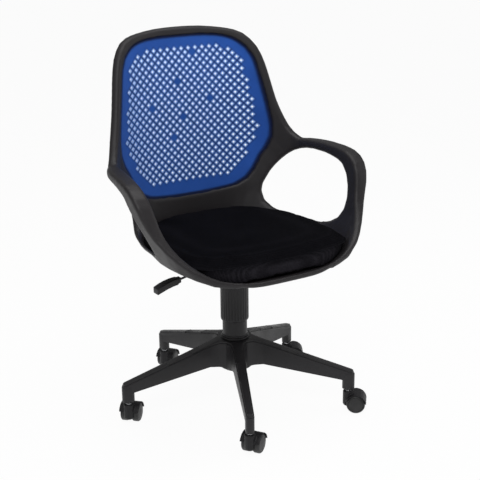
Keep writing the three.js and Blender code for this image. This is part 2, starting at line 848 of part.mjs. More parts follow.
// Flat outlines of the shell as [walked distance, height] pairs, right half.
const hoopEdge = [
  [0, 934], [70, 931.5], [140, 922], [175, 910], [197, 891], [214, 866], [227, 830],
  [238, 786], [252, 735], [272, 690], [292, 660], [318, 642],
];
const armEdge = [
  [318, 642], [361, 644], [425, 643], [483, 636], [517, 621], [538, 600], [549, 576],
  [556, 548], [566, 522], [585, 495], [610, 467], [636, 446], [666, 430], [720, 417],
];
const underEdge = [
  [720, 401], [690, 403], [658, 409], [630, 419], [603, 429], [572, 436], [530, 438], [470, 440],
  [330, 440], [260, 428], [190, 414], [100, 411], [0, 411],
];
const backOpening = [
  [0, 912], [60, 911], [115, 906], [153, 894], [180, 874], [196, 849], [208, 808], [219, 762],
  [231, 712], [238, 673], [236, 643], [223, 617], [206, 592], [190, 556], [174, 535], [145, 520],
  [75, 511], [0, 509],
];
const armOpening = [
  [345, 620], [300, 608], [266, 583], [240, 551], [226, 518], [227, 498], [243, 475], [275, 459],
  [325, 453], [390, 451], [440, 452], [485, 460], [511, 475], [522, 498], [521, 525], [513, 552],
  [500, 578], [478, 601], [438, 614], [393, 620],
];

const vectors = (pairs) => pairs.map(([x, y]) => new THREE.Vector2(x, y));
const mirrored = (pairs) => pairs.map(([x, y]) => [-x, y]).reverse();

// Points at an even spacing along a smooth curve through some pairs.
function smooth(pairs, spacing) {
  const curve = new THREE.SplineCurve(vectors(pairs));
  return curve.getSpacedPoints(Math.max(2, Math.round(curve.getLength() / spacing)));
}

function smoothLoop(pairs, spacing) {
  const around = [...pairs.slice(-2), ...pairs, ...pairs.slice(0, 2)];
  const curve = new THREE.SplineCurve(vectors(around));
  const span = around.length - 1;
  const points = [];
  for (let i = 0; i < pairs.length; i += 1) {
    const [from, to] = [around[i + 2], around[i + 3]];
    const parts = Math.max(1, Math.round(Math.hypot(to[0] - from[0], to[1] - from[1]) / spacing));
    for (let k = 0; k < parts; k += 1) points.push(curve.getPoint((i + 2 + k / parts) / span));
  }
  return points;
}

// The outline turned so that the material lies on its left.
function turnedLeft(points, isHole) {
  return THREE.ShapeUtils.isClockWise(points) === isHole ? points : [...points].reverse();
}

// Moves every point of a closed outline into the material on its left.
function insetLoop(points, distance) {
  const count = points.length;
  return points.map((point, i) => {
    const before = points[(i + count - 1) % count];
    const after = points[(i + 1) % count];
    const along = after.clone().sub(before).normalize();
    return new THREE.Vector2(point.x - along.y * distance, point.y + along.x * distance);
  });
}

// Swaps the diagonals of neighbouring triangles until no triangle can be made plumper.
function plumpened(points, faces) {
  const angleAt = (tip, a, b) => {
    const [u, v] = [points[a].clone().sub(points[tip]), points[b].clone().sub(points[tip])];
    return Math.abs(Math.atan2(u.cross(v), u.dot(v)));
  };
  for (let swaps = 1; swaps > 0;) {
    swaps = 0;
    const owner = new Map();
    faces.forEach((face, i) => face.forEach((v, k) => owner.set(`${v} ${face[(k + 1) % 3]}`, i)));
    const changed = new Set();
    for (let i = 0; i < faces.length; i += 1) {
      for (let k = 0; k < 3 && !changed.has(i); k += 1) {
        const [a, b, c] = [0, 1, 2].map((step) => faces[i][(k + step) % 3]);
        const j = owner.get(`${b} ${a}`);
        if (j === undefined || changed.has(j)) continue;
        const d = faces[j].find((v) => v !== a && v !== b);
        if (owner.has(`${c} ${d}`) || owner.has(`${d} ${c}`)) continue;
        if (angleAt(c, a, b) + angleAt(d, a, b) < Math.PI + 1e-6) continue;
        faces[i] = [a, d, c];
        faces[j] = [d, b, c];
        changed.add(i).add(j);
        swaps += 1;
      }
    }
  }
}

// Triangles over a flat region with holes, with chosen points and a grid of points inside it.
function gridded(outline, holes, spacing, chosen = []) {
  const points = [outline, ...holes].flat();
  const faces = THREE.ShapeUtils.triangulateShape([...outline], holes.map((hole) => [...hole]));
  const bounds = new THREE.Box2().setFromPoints(outline);
  const side = (a, b, p) => (b.x - a.x) * (p.y - a.y) - (b.y - a.y) * (p.x - a.x);
  const insert = (point) => {
    const holder = faces.findIndex((face) => face.every(
      (v, k) => side(points[v], points[face[(k + 1) % 3]], point) > 1e-3,
    ));
    if (holder < 0) return;
    const [a, b, c] = faces[holder];
    const added = points.push(point) - 1;
    faces[holder] = [a, b, added];
    faces.push([b, c, added], [c, a, added]);
  };
  chosen.forEach(insert);
  const fixed = [...points];
  for (let x = bounds.min.x + spacing / 2; x < bounds.max.x; x += spacing) {
    for (let y = bounds.min.y + spacing / 2; y < bounds.max.y; y += spacing) {
      const point = new THREE.Vector2(x, y);
      if (fixed.every((other) => other.distanceTo(point) > spacing * 0.6)) insert(point);
    }
  }
  plumpened(points, faces);
  return { points, faces };
}

// A plate cut to flat outlines and bent round the form, its edges chamfered on both faces.
// low and high give the depth of its outer and inner face at a place.
function bentPlate(outline, holes, { spacing, chamfer, low, high, ring = [] }) {
  const loops = [turnedLeft(outline, false), ...holes.map((hole) => turnedLeft(hole, true))];
  const faceLoops = chamfer > 0 ? loops.map((loop) => insetLoop(loop, chamfer)) : loops;
  const { points, faces } = gridded(faceLoops[0], faceLoops.slice(1), spacing, ring);
  const position = [];
  const add = (point, share, drop) => {
    const [distance, z] = [point.x, point.y];
    const [outer, inner] = [low(distance, z), high(distance, z)];
    const offset = THREE.MathUtils.lerp(outer + drop, inner - drop, share);
    const shift = Math.sign(distance) * splayAt(distance, z) * (1 - share);
    const { here, normal } = formFrame(distance - shift, z);
    position.push(here[0] + offset * normal[0], here[1] + offset * normal[1], z);
  };
  points.forEach((point) => add(point, 0, 0));
  points.forEach((point) => add(point, 1, 0));
  const index = faces.flatMap(([a, b, c]) => [
    a, c, b,
    points.length + a, points.length + b, points.length + c,
  ]);
  let start = 0;
  for (const loop of loops) {
    const rows = [start];
    if (chamfer > 0) {
      for (const share of [0, 1]) {
        rows.push(position.length / 3);
        loop.forEach((point) => add(point, share, chamfer));
      }
    }
    rows.push(points.length + start);
    for (let row = 0; row < rows.length - 1; row += 1) {
      for (let i = 0; i < loop.length; i += 1) {
        const next = (i + 1) % loop.length;
        const [a, b] = [rows[row] + i, rows[row] + next];
        const [c, d] = [rows[row + 1] + i, rows[row + 1] + next];
        index.push(a, b, d, a, d, c);
      }
    }
    start += loop.length;
  }
  const geometry = new THREE.BufferGeometry();
  geometry.setAttribute('position', new THREE.Float32BufferAttribute(position, 3));
  geometry.setIndex(index);
  return geometry;
}

const fullBackOpening = [...backOpening, ...mirrored(backOpening).slice(1, -1)];

function shellOutline(spacing) {
  const rightUnder = underEdge.slice(0, -1);
  return [
    ...smooth([...mirrored(hoopEdge), ...hoopEdge.slice(1)], spacing).slice(0, -1),
    ...smooth(armEdge, spacing),
    ...smooth([...rightUnder, [0, underEdge.at(-1)[1]], ...mirrored(rightUnder)], spacing * 1.5),
    ...smooth(mirrored(armEdge), spacing).slice(0, -1),
  ];
}

// Depths of the groove round the back opening, and of the panel and fabric held in it.
const grooveFront = shell.thickness / 2 - shell.grooveLip;
const fabricFront = grooveFront - shell.grooveClearance;
const panelFront = fabricFront - panel.fabric - gap;
const panelRear = panelFront - panel.thickness;
const grooveRear = panelRear - shell.grooveClearance;

function shellGeometry() {
  const opening = smoothLoop(fullBackOpening, facet);
  const wall = bentPlate(
    shellOutline(facet),
    [opening, smoothLoop(armOpening, facet), smoothLoop(mirrored(armOpening), facet)],
    {
      spacing: 34,
      chamfer: shell.edgeRound,
      low: outerFace,
      high: innerFace,
    },
  );
  const bareOpening = turnedLeft(opening, true);
  const groove = bentPlate(insetLoop(bareOpening, shell.grooveDepth), [insetLoop(bareOpening, -over)], {
    spacing: 60, chamfer: 0, low: () => grooveRear, high: () => grooveFront,
  });
  const holes = boltHoles.map(([x, y]) => cylinder(
    plate.boltRadius + gap, floorUnder - over, seat.floorTop + over, 8,
  ).translate(x, y, 0));
  return cut(join(wall, seatTray()), groove, ...holes);
}

// ---------- Seat tray, board and cushion ----------

const trayCentre = [0, shell.widest + (formReach - seat.frontReach) / 2 - 20];

// Change from the side rim to the low front rim, by the share of the walk round the form.
const fromSideToFront = (side, front) => (walk) => (
  THREE.MathUtils.lerp(side, front, ease(walk, 0.48, 0.9))
);
const rimTop = fromSideToFront(seat.sideRimTop, seat.frontRimTop);
// How much the tray tucks in behind the foot of the arm's front leg.
const cornerTuck = (walk) => ease(walk, 0.42, 0.6) * (1 - ease(walk, 0.68, 0.84));
const rimFoot = fromSideToFront(
  seat.sideRimTop - seat.sideRimDepth, seat.frontRimTop - seat.frontRimDepth,
);
const cornerInset = (walk) => seat.cornerInset * cornerTuck(walk);
// How far inside the rim the tray's sloping sides reach its flat floor.
const floorInset = (walk) => fromSideToFront(seat.sideToe, seat.frontToe)(walk) + cornerInset(walk);

// A closed lofted dish. Each level gives, at every station round it, a height and how far inside
// the rim's outer face it runs, and may be shrunk towards the tray's centre.
function dish(levels, stations) {
  const lowZ = levels[0].height(0);
  const highZ = levels.at(-1).height(0);
  const position = [...trayCentre, lowZ];
  for (const { scale = 1, inset = () => 0, height } of levels) {
    for (let i = 0; i < stations; i += 1) {
      const turn = (2 * i) / stations;
      const walk = turn <= 1 ? turn : 2 - turn;
      const side = turn <= 1 ? 1 : -1;
      const z = height(walk);
      const { here, normal } = formFrame(walk * form.total, z);
      const depth = inset(walk) - shell.rimThickness / 2;
      for (const k of [0, 1]) {
        const edge = here[k] + depth * normal[k];
        position.push(trayCentre[k] + (edge - trayCentre[k]) * scale * (k === 0 ? side : 1));
      }
      position.push(z);
    }
  }
  position.push(...trayCentre, highZ);
  const index = [];
  const last = 1 + levels.length * stations;
  const at = (row, i) => 1 + row * stations + (i % stations);
  for (let i = 0; i < stations; i += 1) {
    index.push(0, at(0, i), at(0, i + 1));
    for (let row = 0; row < levels.length - 1; row += 1) {
      index.push(at(row, i), at(row + 1, i), at(row + 1, i + 1));
      index.push(at(row, i), at(row + 1, i + 1), at(row, i + 1));
    }
    index.push(last, at(levels.length - 1, i + 1), at(levels.length - 1, i));
  }
  const geometry = new THREE.BufferGeometry();
  geometry.setAttribute('position', new THREE.Float32BufferAttribute(position, 3));
  geometry.setIndex(index);
  return geometry;
}

const flat = (value) => () => value;

// Height of the tray's inside face a given way inside the rim.
function trayInside(walk, inset) {
  const from = shell.rimThickness + 1 + cornerInset(walk);
  const top = Math.max(rimFoot(walk), seat.floorTop) + seat.floorThickness;
  const share = THREE.MathUtils.clamp((inset - from) / (floorInset(walk) - from), 0, 1);
  return THREE.MathUtils.lerp(top, seat.floorTop, share);
}

function seatTray() {
  const wall = shell.rimThickness;
  return dish([
    { scale: 0.4, height: flat(floorUnder) },
    { inset: floorInset, height: flat(floorUnder) },
    { inset: (walk) => 8 + cornerInset(walk), height: rimFoot },
    { inset: cornerInset, height: (walk) => rimFoot(walk) + 4 },
    { height: (walk) => rimTop(walk) - 3 },
    { inset: flat(2.5), height: rimTop },
    { inset: flat(wall), height: (walk) => rimTop(walk) - 1.5 },
    { inset: (walk) => wall + 1 + cornerInset(walk), height: (walk) => trayInside(walk, 0) },
    { inset: floorInset, height: flat(seat.floorTop) },
    { scale: 0.4, height: flat(seat.floorTop) },
  ], 52);
}

chair.add(named('shell_frame', shellGeometry(), colours.shell));

const boardBottom = seat.floorTop + gap;
const boardTop = boardBottom + seat.boardThickness;

function boardGeometry() {
  const board = dish([
    { scale: seat.boardScale, height: flat(boardBottom) },
    { scale: seat.boardScale, height: flat(boardTop) },
  ], 40);
  const hole = ([x, y]) => cylinder(plate.boltRadius + gap, boardBottom - over, boardTop + over, 8)
    .translate(x, y, 0);
  return cut(board, ...boltHoles.map(hole));
}

chair.add(named('seat_board', boardGeometry(), colours.wood));

// The cushion rests on the board, follows the tray's wall and is crowned on top.
function cushionGeometry() {
  const rest = boardTop + gap;
  const edge = seat.cushionEdgeTop;
  const wallFace = (walk) => Math.max(
    ...[0, 12, 24].map((up) => innerFace(walk * form.total, edge + up)),
  );
  const side = (more) => (walk) => (
    shell.rimThickness / 2 + wallFace(walk) + seat.cushionInset + more
  );
  const rearLift = (walk) => seat.cushionRearLift * (1 - ease(walk, 0.12, 0.42));
  const crown = (share) => (walk) => edge + seat.cushionCrown * share + rearLift(walk) * (1 - share);
  const shoulder = (walk) => side(2)(walk) + cornerInset(walk);
  const belly = (walk) => side(24)(walk) + cornerInset(walk);
  const above = (inset) => (walk) => Math.max(rest, trayInside(walk, inset(walk)) + 3);
  return dish([
    { scale: 0.4, height: flat(rest) },
    { scale: seat.boardScale, height: flat(rest) },
    { inset: belly, height: above(belly) },
    { inset: shoulder, height: above(shoulder) },
    { inset: (walk) => side(0)(walk) + cornerInset(walk) * 0.7, height: flat(edge - 7) },
    { inset: side(4), height: (walk) => edge - 2 + rearLift(walk) },
    { inset: side(14), height: crown(0.25) },
    { scale: 0.78, height: crown(0.62) },
    { scale: 0.5, height: crown(0.92) },
    { scale: 0.25, height: crown(1) },
  ], 36);
}

chair.add(named('seat_cushion', cushionGeometry(), colours.fabric));

// ---------- Back panel and its fabric ----------

function backLayer(low, high) {
  const edge = insetLoop(
    turnedLeft(smoothLoop(fullBackOpening, facet), false), -(shell.grooveDepth - 2 * gap),
  );
  const ring = insetLoop(edge, shell.grooveDepth + over);
  return bentPlate(edge, [], { spacing: 56, chamfer: 0, low: () => low, high: () => high, ring });
}

chair.add(named('back_panel', backLayer(panelRear, panelFront), colours.blue));
chair.add(named('back_fabric', backLayer(fabricFront - panel.fabric, fabricFront), colours.blue));

export default chair;
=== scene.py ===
import json
import math
import bpy
import bmesh
import numpy as np
from mathutils import Matrix, Vector
from mathutils.bvhtree import BVHTree


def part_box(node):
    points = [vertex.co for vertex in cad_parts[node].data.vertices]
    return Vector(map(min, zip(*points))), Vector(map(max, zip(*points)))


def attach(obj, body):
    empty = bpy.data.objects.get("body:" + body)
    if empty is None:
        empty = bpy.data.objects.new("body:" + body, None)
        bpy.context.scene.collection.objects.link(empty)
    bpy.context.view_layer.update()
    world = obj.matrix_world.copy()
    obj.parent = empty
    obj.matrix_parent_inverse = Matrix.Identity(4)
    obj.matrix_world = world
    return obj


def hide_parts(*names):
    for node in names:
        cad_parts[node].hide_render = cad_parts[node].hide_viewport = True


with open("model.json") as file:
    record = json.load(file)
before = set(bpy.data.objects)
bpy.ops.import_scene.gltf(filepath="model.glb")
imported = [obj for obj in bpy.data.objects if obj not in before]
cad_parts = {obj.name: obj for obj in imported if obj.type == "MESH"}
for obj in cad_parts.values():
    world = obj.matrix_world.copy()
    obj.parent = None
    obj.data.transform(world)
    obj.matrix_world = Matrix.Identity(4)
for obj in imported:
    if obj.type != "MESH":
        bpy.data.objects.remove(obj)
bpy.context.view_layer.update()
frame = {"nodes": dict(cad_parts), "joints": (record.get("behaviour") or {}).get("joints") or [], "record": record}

scene = bpy.context.scene
nodes = frame["nodes"]
print("frame loaded:", len(nodes), "nodes")

# Camera: turn, height and tilt in degrees, lens and sensor in millimetres, the rest in metres;
# right and up are in the view's own plane.
camera = {
    "turn": -32,
    "height": 17.366,
    "tilt": -0.645,
    "distance": 2.804,
    "right": 0.0115,
    "up": 0.3585,
    "base": 0.06,          # height above the floor that all of this is measured from
    "lens": 81.77,
    "sensor": 36,
    "farthest": 100,
}


def placeCamera(c):
    turn, height, tilt = (math.radians(c[k]) for k in ("turn", "height", "tilt"))
    back = Vector((math.sin(turn) * math.cos(height), -math.cos(turn) * math.cos(height), math.sin(height)))
    level = Vector((math.cos(turn), math.sin(turn), 0))
    rise = back.cross(level)
    side = level * math.cos(tilt) + rise * math.sin(tilt)
    top = rise * math.cos(tilt) - level * math.sin(tilt)
    place = side * c["right"] + top * c["up"] + back * c["distance"] + Vector((0, 0, c["base"]))
    data = bpy.data.cameras.new("camera")
    data.lens = c["lens"]
    data.sensor_width = c["sensor"]
    data.clip_end = c["farthest"]
    made = bpy.data.objects.new("camera", data)
    scene.collection.objects.link(made)
    made.matrix_world = Matrix((
        (side.x, top.x, back.x, place.x),
        (side.y, top.y, back.y, place.y),
        (side.z, top.z, back.z, place.z),
        (0, 0, 0, 1)))
    scene.camera = made


placeCamera(camera)

studio = {
    "worldLevel": 0.30,    # light from all round on the object
    "keySize": 1.9, "keyPower": 52, "keyPlace": (-1.6, -2.1, 2.9),
    "fillSize": 2.4, "fillPower": 14, "fillPlace": (2.8, -1.6, 1.5),
    "topSize": 2.2, "topPower": 34, "topPlace": (0.3, -0.1, 3.0),
    "aim": (0, 0, 0.5),    # where every lamp points
    "floorSize": 30,
    "floorSides": 64,
    "floorPaint": (0.92, 0.92, 0.92),
    "floorWhite": 0.95,    # share of plain white that the camera sees in the floor
}


def addLamp(s, name):
    place = s[name + "Place"]
    data = bpy.data.lights.new(name + "Lamp", "AREA")
    data.shape = "DISK"
    data.size = s[name + "Size"]
    data.energy = s[name + "Power"]
    lamp = bpy.data.objects.new(name + "Lamp", data)
    lamp.location = place
    lamp.rotation_euler = (Vector(s["aim"]) - Vector(place)).to_track_quat("-Z", "Y").to_euler()
    scene.collection.objects.link(lamp)


def seenDirectly(tree):
    # One for what the camera sees straight, mirrored or through something clear, nought for stray light.
    path = tree.nodes.new("ShaderNodeLightPath")
    seen = path.outputs["Is Camera Ray"]
    for output in ("Is Glossy Ray", "Is Transmission Ray"):
        either = tree.nodes.new("ShaderNodeMath")
        either.operation = "MAXIMUM"
        tree.links.new(seen, either.inputs[0])
        tree.links.new(path.outputs[output], either.inputs[1])
        seen = either.outputs[0]
    return seen


def buildStudio(s):
    world = bpy.data.worlds.new("studio")
    scene.world = world
    world.use_nodes = True
    tree = world.node_tree
    background = tree.nodes.get("Background") or tree.nodes.new("ShaderNodeBackground")
    background.inputs["Color"].default_value = (1, 1, 1, 1)
    level = tree.nodes.new("ShaderNodeMapRange")
    level.inputs["To Min"].default_value = s["worldLevel"]
    level.inputs["To Max"].default_value = 1.0
    path = tree.nodes.new("ShaderNodeLightPath")
    tree.links.new(path.outputs["Is Camera Ray"], level.inputs["Value"])
    tree.links.new(level.outputs["Result"], background.inputs["Strength"])

    for lamp in ("key", "fill", "top"):
        addLamp(s, lamp)

    bpy.ops.object.select_all(action="DESELECT")
    bpy.ops.mesh.primitive_circle_add(vertices=s["floorSides"], radius=s["floorSize"], fill_type="NGON")
    floor = bpy.context.object
    floor.name = "floor"
    paint = bpy.data.materials.new("floorPaint")
    paint.use_nodes = True
    tree = paint.node_tree
    tree.nodes.remove(tree.nodes["Principled BSDF"])
    matt = tree.nodes.new("ShaderNodeBsdfDiffuse")
    matt.inputs["Color"].default_value = (*s["floorPaint"], 1)
    glow = tree.nodes.new("ShaderNodeEmission")
    glow.inputs["Color"].default_value = (1, 1, 1, 1)
    share = tree.nodes.new("ShaderNodeMath")
    share.operation = "MULTIPLY"
    share.inputs[1].default_value = s["floorWhite"]
    blend = tree.nodes.new("ShaderNodeMixShader")
    tree.links.new(seenDirectly(tree), share.inputs[0])
    tree.links.new(share.outputs[0], blend.inputs["Fac"])
    tree.links.new(matt.outputs[0], blend.inputs[1])
    tree.links.new(glow.outputs[0], blend.inputs[2])
    tree.links.new(blend.outputs[0], tree.nodes["Material Output"].inputs["Surface"])
    floor.data.materials.append(paint)
    scene.view_settings.view_transform = "Standard"


buildStudio(studio)
print("camera, floor and lamps set")


class Finish:
    # One material and the nodes added to it; sockets are named as they are in the node editor.
    def __init__(self, name, colour, roughness, **settings):
        self.material = bpy.data.materials.new(name)
        self.material.use_nodes = True
        self.tree = self.material.node_tree
        self.shader = self.tree.nodes["Principled BSDF"]
        self.shader.inputs["Base Color"].default_value = (*colour, 1)
        self.shader.inputs["Roughness"].default_value = roughness
        for socket, value in settings.items():
            self.shader.inputs[socket].default_value = value
        self.place = self.tree.nodes.new("ShaderNodeTexCoord").outputs["Object"]
        self.height = None

    def node(self, kind, **sockets):
        made = self.tree.nodes.new("ShaderNode" + kind)
        for socket, value in sockets.items():
            self.feed(made, socket, value)
        return made

    def feed(self, node, socket, value):
        target = node.inputs[int(socket[1:])] if socket[0] == "_" else node.inputs[socket]
        if isinstance(value, bpy.types.NodeSocket):
            self.tree.links.new(value, target)
        else:
            target.default_value = value

    def maths(self, operation, first, second=0.0):
        made = self.node("Math", _0=first, _1=second)
        made.operation = operation
        return made.outputs[0]

    def noise(self, scale, detail=2.0):
        made = self.node("TexNoise", Vector=self.place, Scale=scale, Detail=detail)
        return made.outputs["Fac"]

    def spread(self, value, low, high, toLow, toHigh):
        made = self.node("MapRange", Value=value)
        sockets = {"From Min": low, "From Max": high, "To Min": toLow, "To Max": toHigh}
        for socket, number in sockets.items():
            made.inputs[socket].default_value = number
        return made.outputs["Result"]

    def blended(self, value, first, second):
        # The mix node has its colour sockets at these numbers; each colour is a value or a socket.
        made = self.node("Mix")
        made.data_type = "RGBA"
        self.tree.links.new(value, made.inputs["Factor"])
        for number, colour in ((6, first), (7, second)):
            if isinstance(colour, bpy.types.NodeSocket):
                self.tree.links.new(colour, made.inputs[number])
            else:
                made.inputs[number].default_value = (*colour, 1)
        return made.outputs[2]

    def colours(self, value, first, second):
        self.tree.links.new(self.blended(value, first, second), self.shader.inputs["Base Color"])

    def sheenOfSurface(self, value, low, high, smooth, rough):
        self.tree.links.new(self.spread(value, low, high, smooth, rough), self.shader.inputs["Roughness"])

    def relief(self, value, depth, strength=1.0):
        made = self.node("Bump", Height=value)
        made.inputs["Distance"].default_value = depth
        made.inputs["Strength"].default_value = strength
        if self.height is not None:
            self.tree.links.new(self.height, made.inputs["Normal"])
        self.height = made.outputs["Normal"]
        self.tree.links.new(self.height, self.shader.inputs["Normal"])


# What all moulded plastics share: soft clouds of colour, a mottled gloss, a fine grain and shallow
# sinks. Here and below a noise is given by its scale and its detail.
moulding = {
    "specular": 0.3,
    "cloud": (5.0, 3.0),
    "mottle": (14.0, 4.0),
    "grainDetail": 3.0, "grainDepth": 0.00035, "grainStrength": 0.55,
    "sink": (9.0, 2.0), "sinkDepth": 0.0012, "sinkStrength": 0.12,
}
commonRange = (0.3, 0.7)   # where most values of a noise lie


def mouldedFinish(name, dark, light, smooth, rough, grain):
    m = moulding
    f = Finish(name, dark, rough)
    f.shader.inputs["Specular IOR Level"].default_value = m["specular"]
    f.colours(f.spread(f.noise(*m["cloud"]), *commonRange, 0, 1), dark, light)
    f.sheenOfSurface(f.noise(*m["mottle"]), *commonRange, smooth, rough)
    f.relief(f.noise(grain, m["grainDetail"]), m["grainDepth"], m["grainStrength"])
    f.relief(f.noise(*m["sink"]), m["sinkDepth"], m["sinkStrength"])
    return f.material


# Plainer surfaces: patches of colour, a mottled gloss and one grain.
grained = {
    "brightZinc": {
        "metallic": 1.0, "flat": (0.66, 0.67, 0.69), "flatRough": 0.34,
        "dark": (0.66, 0.67, 0.69), "light": (0.528, 0.536, 0.552), "patch": (60.0, 4.0),
        "mottle": (240.0, 3.0), "smooth": 0.20, "rough": 0.34,
        "grain": (900.0, 2.0), "depth": 0.0001, "strength": 0.3,
    },
    "blackPowderCoat": {
        "metallic": 0.0, "flat": (0.012, 0.012, 0.013), "flatRough": 0.42,
        "dark": (0.012, 0.012, 0.013), "light": (0.0162, 0.0162, 0.01755), "patch": (30.0, 2.0),
        "mottle": (60.0, 3.0), "smooth": 0.34, "rough": 0.5,
        "grain": (1300.0, 1.0), "depth": 0.0003, "strength": 0.5,
    },
    "wheelTread": {
        "metallic": 0.0, "flat": (0.006, 0.006, 0.007), "flatRough": 0.5,
        "dark": (0.006, 0.006, 0.007), "light": (0.012, 0.012, 0.012), "patch": (40.0, 4.0),
        "mottle": (80.0, 3.0), "smooth": 0.4, "rough": 0.62,
        "grain": (1500.0, 2.0), "depth": 0.0002, "strength": 0.5,
    },
    "bluePlastic": {
        "metallic": 0.0, "flat": (0.020, 0.090, 0.460), "flatRough": 0.42,
        "dark": (0.015, 0.070, 0.380), "light": (0.026, 0.110, 0.540), "patch": (9.0, 3.0),
        "mottle": (25.0, 3.0), "smooth": 0.36, "rough": 0.52,
        "grain": (1200.0, 2.0), "depth": 0.0002, "strength": 0.5,
    },
}


def grainedFinish(name):
    g = grained[name]
    f = Finish(name, g["flat"], g["flatRough"], Metallic=g["metallic"])
    f.colours(f.noise(*g["patch"]), g["dark"], g["light"])
    f.sheenOfSurface(f.noise(*g["mottle"]), *commonRange, g["smooth"], g["rough"])
    f.relief(f.noise(*g["grain"]), g["depth"], g["strength"])
    return f.material


ply = {
    "flat": (0.42, 0.27, 0.13), "rough": 0.62,
    "dark": (0.26, 0.15, 0.06), "light": (0.52, 0.35, 0.18),
    "layers": 640.0,       # to the metre
    "layerShare": 0.35,
    "streaks": (60, 4, 60), "streakScale": 3.0, "streakDetail": 5.0,
    "depth": 0.0004, "strength": 0.5,
}


def plyFinish(w):
    f = Finish("rawPly", w["flat"], w["rough"])
    split = f.node("SeparateXYZ", Vector=f.place)
    layers = f.maths("FRACT", f.maths("MULTIPLY", split.outputs["Z"], w["layers"]))
    stretched = f.node("Mapping", Vector=f.place, Scale=w["streaks"])
    streaks = f.node(
        "TexNoise", Vector=stretched.outputs[0], Scale=w["streakScale"], Detail=w["streakDetail"])
    grain = f.maths("MULTIPLY_ADD", layers, w["layerShare"])
    f.tree.links.new(streaks.outputs["Fac"], grain.node.inputs[2])
    f.colours(grain, w["dark"], w["light"])
    f.relief(streaks.outputs["Fac"], w["depth"], w["strength"])
    return f.material


def diagonalThreads(f, pitch):
    # Two sets of fine ribs that cross at right angles over the back, as a warp knit's do.
    split = f.node("SeparateXYZ", Vector=f.place)
    turns = 2 * math.pi / (pitch * math.sqrt(2))
    ribs = []
    for operation in ("ADD", "SUBTRACT"):
        along = f.maths(operation, split.outputs["X"], split.outputs["Z"])
        ribs.append(f.maths("SINE", f.maths("MULTIPLY", along, turns)))
    return f.maths("MAXIMUM", ribs[0], ribs[1])


knit = {
    "pitch": 0.0026,       # between the fine ribs of the back's knit
    "dark": (0.006, 0.038, 0.200),
    "light": (0.026, 0.115, 0.500),
    "rough": 0.8,
    "specular": 0.2,
    "sheen": 0.08, "sheenRough": 0.5, "sheenTint": (0.35, 0.55, 1.0, 1),
    "blotch": (11.0, 3.0), "blotchShare": 0.15,
    "ribFrom": -0.6, "ribTo": 1.0, "ribDepth": 0.0005, "ribStrength": 0.7,
    # Distances from the middle of a thread, in shares of a diamond's side.
    "latticeShadow": (0.005, 0.020, 0.110), "latticeShadowFrom": 0.03, "latticeShadowTo": 0.085,
    # Painted shadow of the lattice: dark lines along the middles of the threads, between the diamonds.
    "rim": (0.350, 0.540, 0.970), "sheenRingFrom": 0.10, "sheenRingTo": 0.30,
    # Painted sheen: a lighter ring round each hole.
    "hollowTo": 0.14, "hollowDepth": 0.0008,
    "grooveShade": (0.003, 0.008, 0.040),  # painted shade where the knit runs into the hoop's groove
}
spacer = {
    "pitch": 0.0030,       # between the pores of the seat's spacer knit
    "unevenness": 0.25,
    "poreFrom": 0.15, "poreTo": 0.65,
    "dark": (0.0006, 0.0006, 0.0010),
    # Painted light and shade: the cover is one fabric, and its side is painted lighter than its top.
    "topPaintedDarker": (0.0045, 0.0043, 0.0058),
    "sidePaintedLighter": (0.0210, 0.0195, 0.0240),
    "sideTo": 0.436, "topFrom": 0.452,  # heights between which the side, painted lighter, turns into the top, painted darker
    "rough": 0.9,
    "specular": 0.03,
    "blotch": (14.0, 3.0), "blotchShare": 0.15,
    "depth": 0.0007, "strength": 0.8,
}


def blotches(f, k):
    return f.spread(f.noise(*k["blotch"]), *commonRange, -k["blotchShare"], k["blotchShare"])


def toMiddleOfThread(f, share):
    # Nought on a whole number and a half in between.
    part = f.maths("SUBTRACT", f.maths("FRACT", share), 0.5)
    return f.maths("SUBTRACT", 0.5, f.maths("ABSOLUTE", part))


def named(f, attribute):
    node = f.node("Attribute")
    node.attribute_name = attribute
    return node.outputs["Fac"]


def backKnit(k):
    # The sheet's own map runs along the two thread directions, one unit for each diamond.
    f = Finish("blueKnit", k["light"], k["rough"])
    f.shader.inputs["Specular IOR Level"].default_value = k["specular"]
    f.shader.inputs["Sheen Weight"].default_value = k["sheen"]
    f.shader.inputs["Sheen Roughness"].default_value = k["sheenRough"]
    f.shader.inputs["Sheen Tint"].default_value = k["sheenTint"]
    ribs = diagonalThreads(f, k["pitch"])
    lit = f.maths("ADD", f.spread(ribs, k["ribFrom"], k["ribTo"], 0.0, 1.0), blotches(f, k))
    cloth = f.blended(lit, k["dark"], k["light"])
    along = f.node("SeparateXYZ", Vector=f.node("UVMap").outputs["UV"])
    near = f.maths("MINIMUM", *(toMiddleOfThread(f, along.outputs[axis]) for axis in ("X", "Y")))
    net = named(f, "netShare")
    # Painted shadow: the lattice's dark lines along the middles of the threads.
    latticeShadow = f.maths("MULTIPLY", f.spread(near, k["latticeShadowFrom"], k["latticeShadowTo"], 1.0, 0.0), net)
    # Painted sheen: the knit is painted lighter round each hole.
    rim = f.maths("MULTIPLY", f.spread(near, k["sheenRingFrom"], k["sheenRingTo"], 0.0, 1.0), net)
    shadowedCloth = f.blended(latticeShadow, f.blended(rim, cloth, k["rim"]), k["latticeShadow"])
    # Painted shade darkens the knit towards its outline, where it runs into the hoop's groove.
    f.colours(named(f, "grooveShadeShare"), shadowedCloth, k["grooveShade"])
    f.relief(ribs, k["ribDepth"], k["ribStrength"])
    f.relief(f.maths("MULTIPLY", f.spread(near, 0.0, k["hollowTo"], -1.0, 0.0), net), k["hollowDepth"])
    return f.material


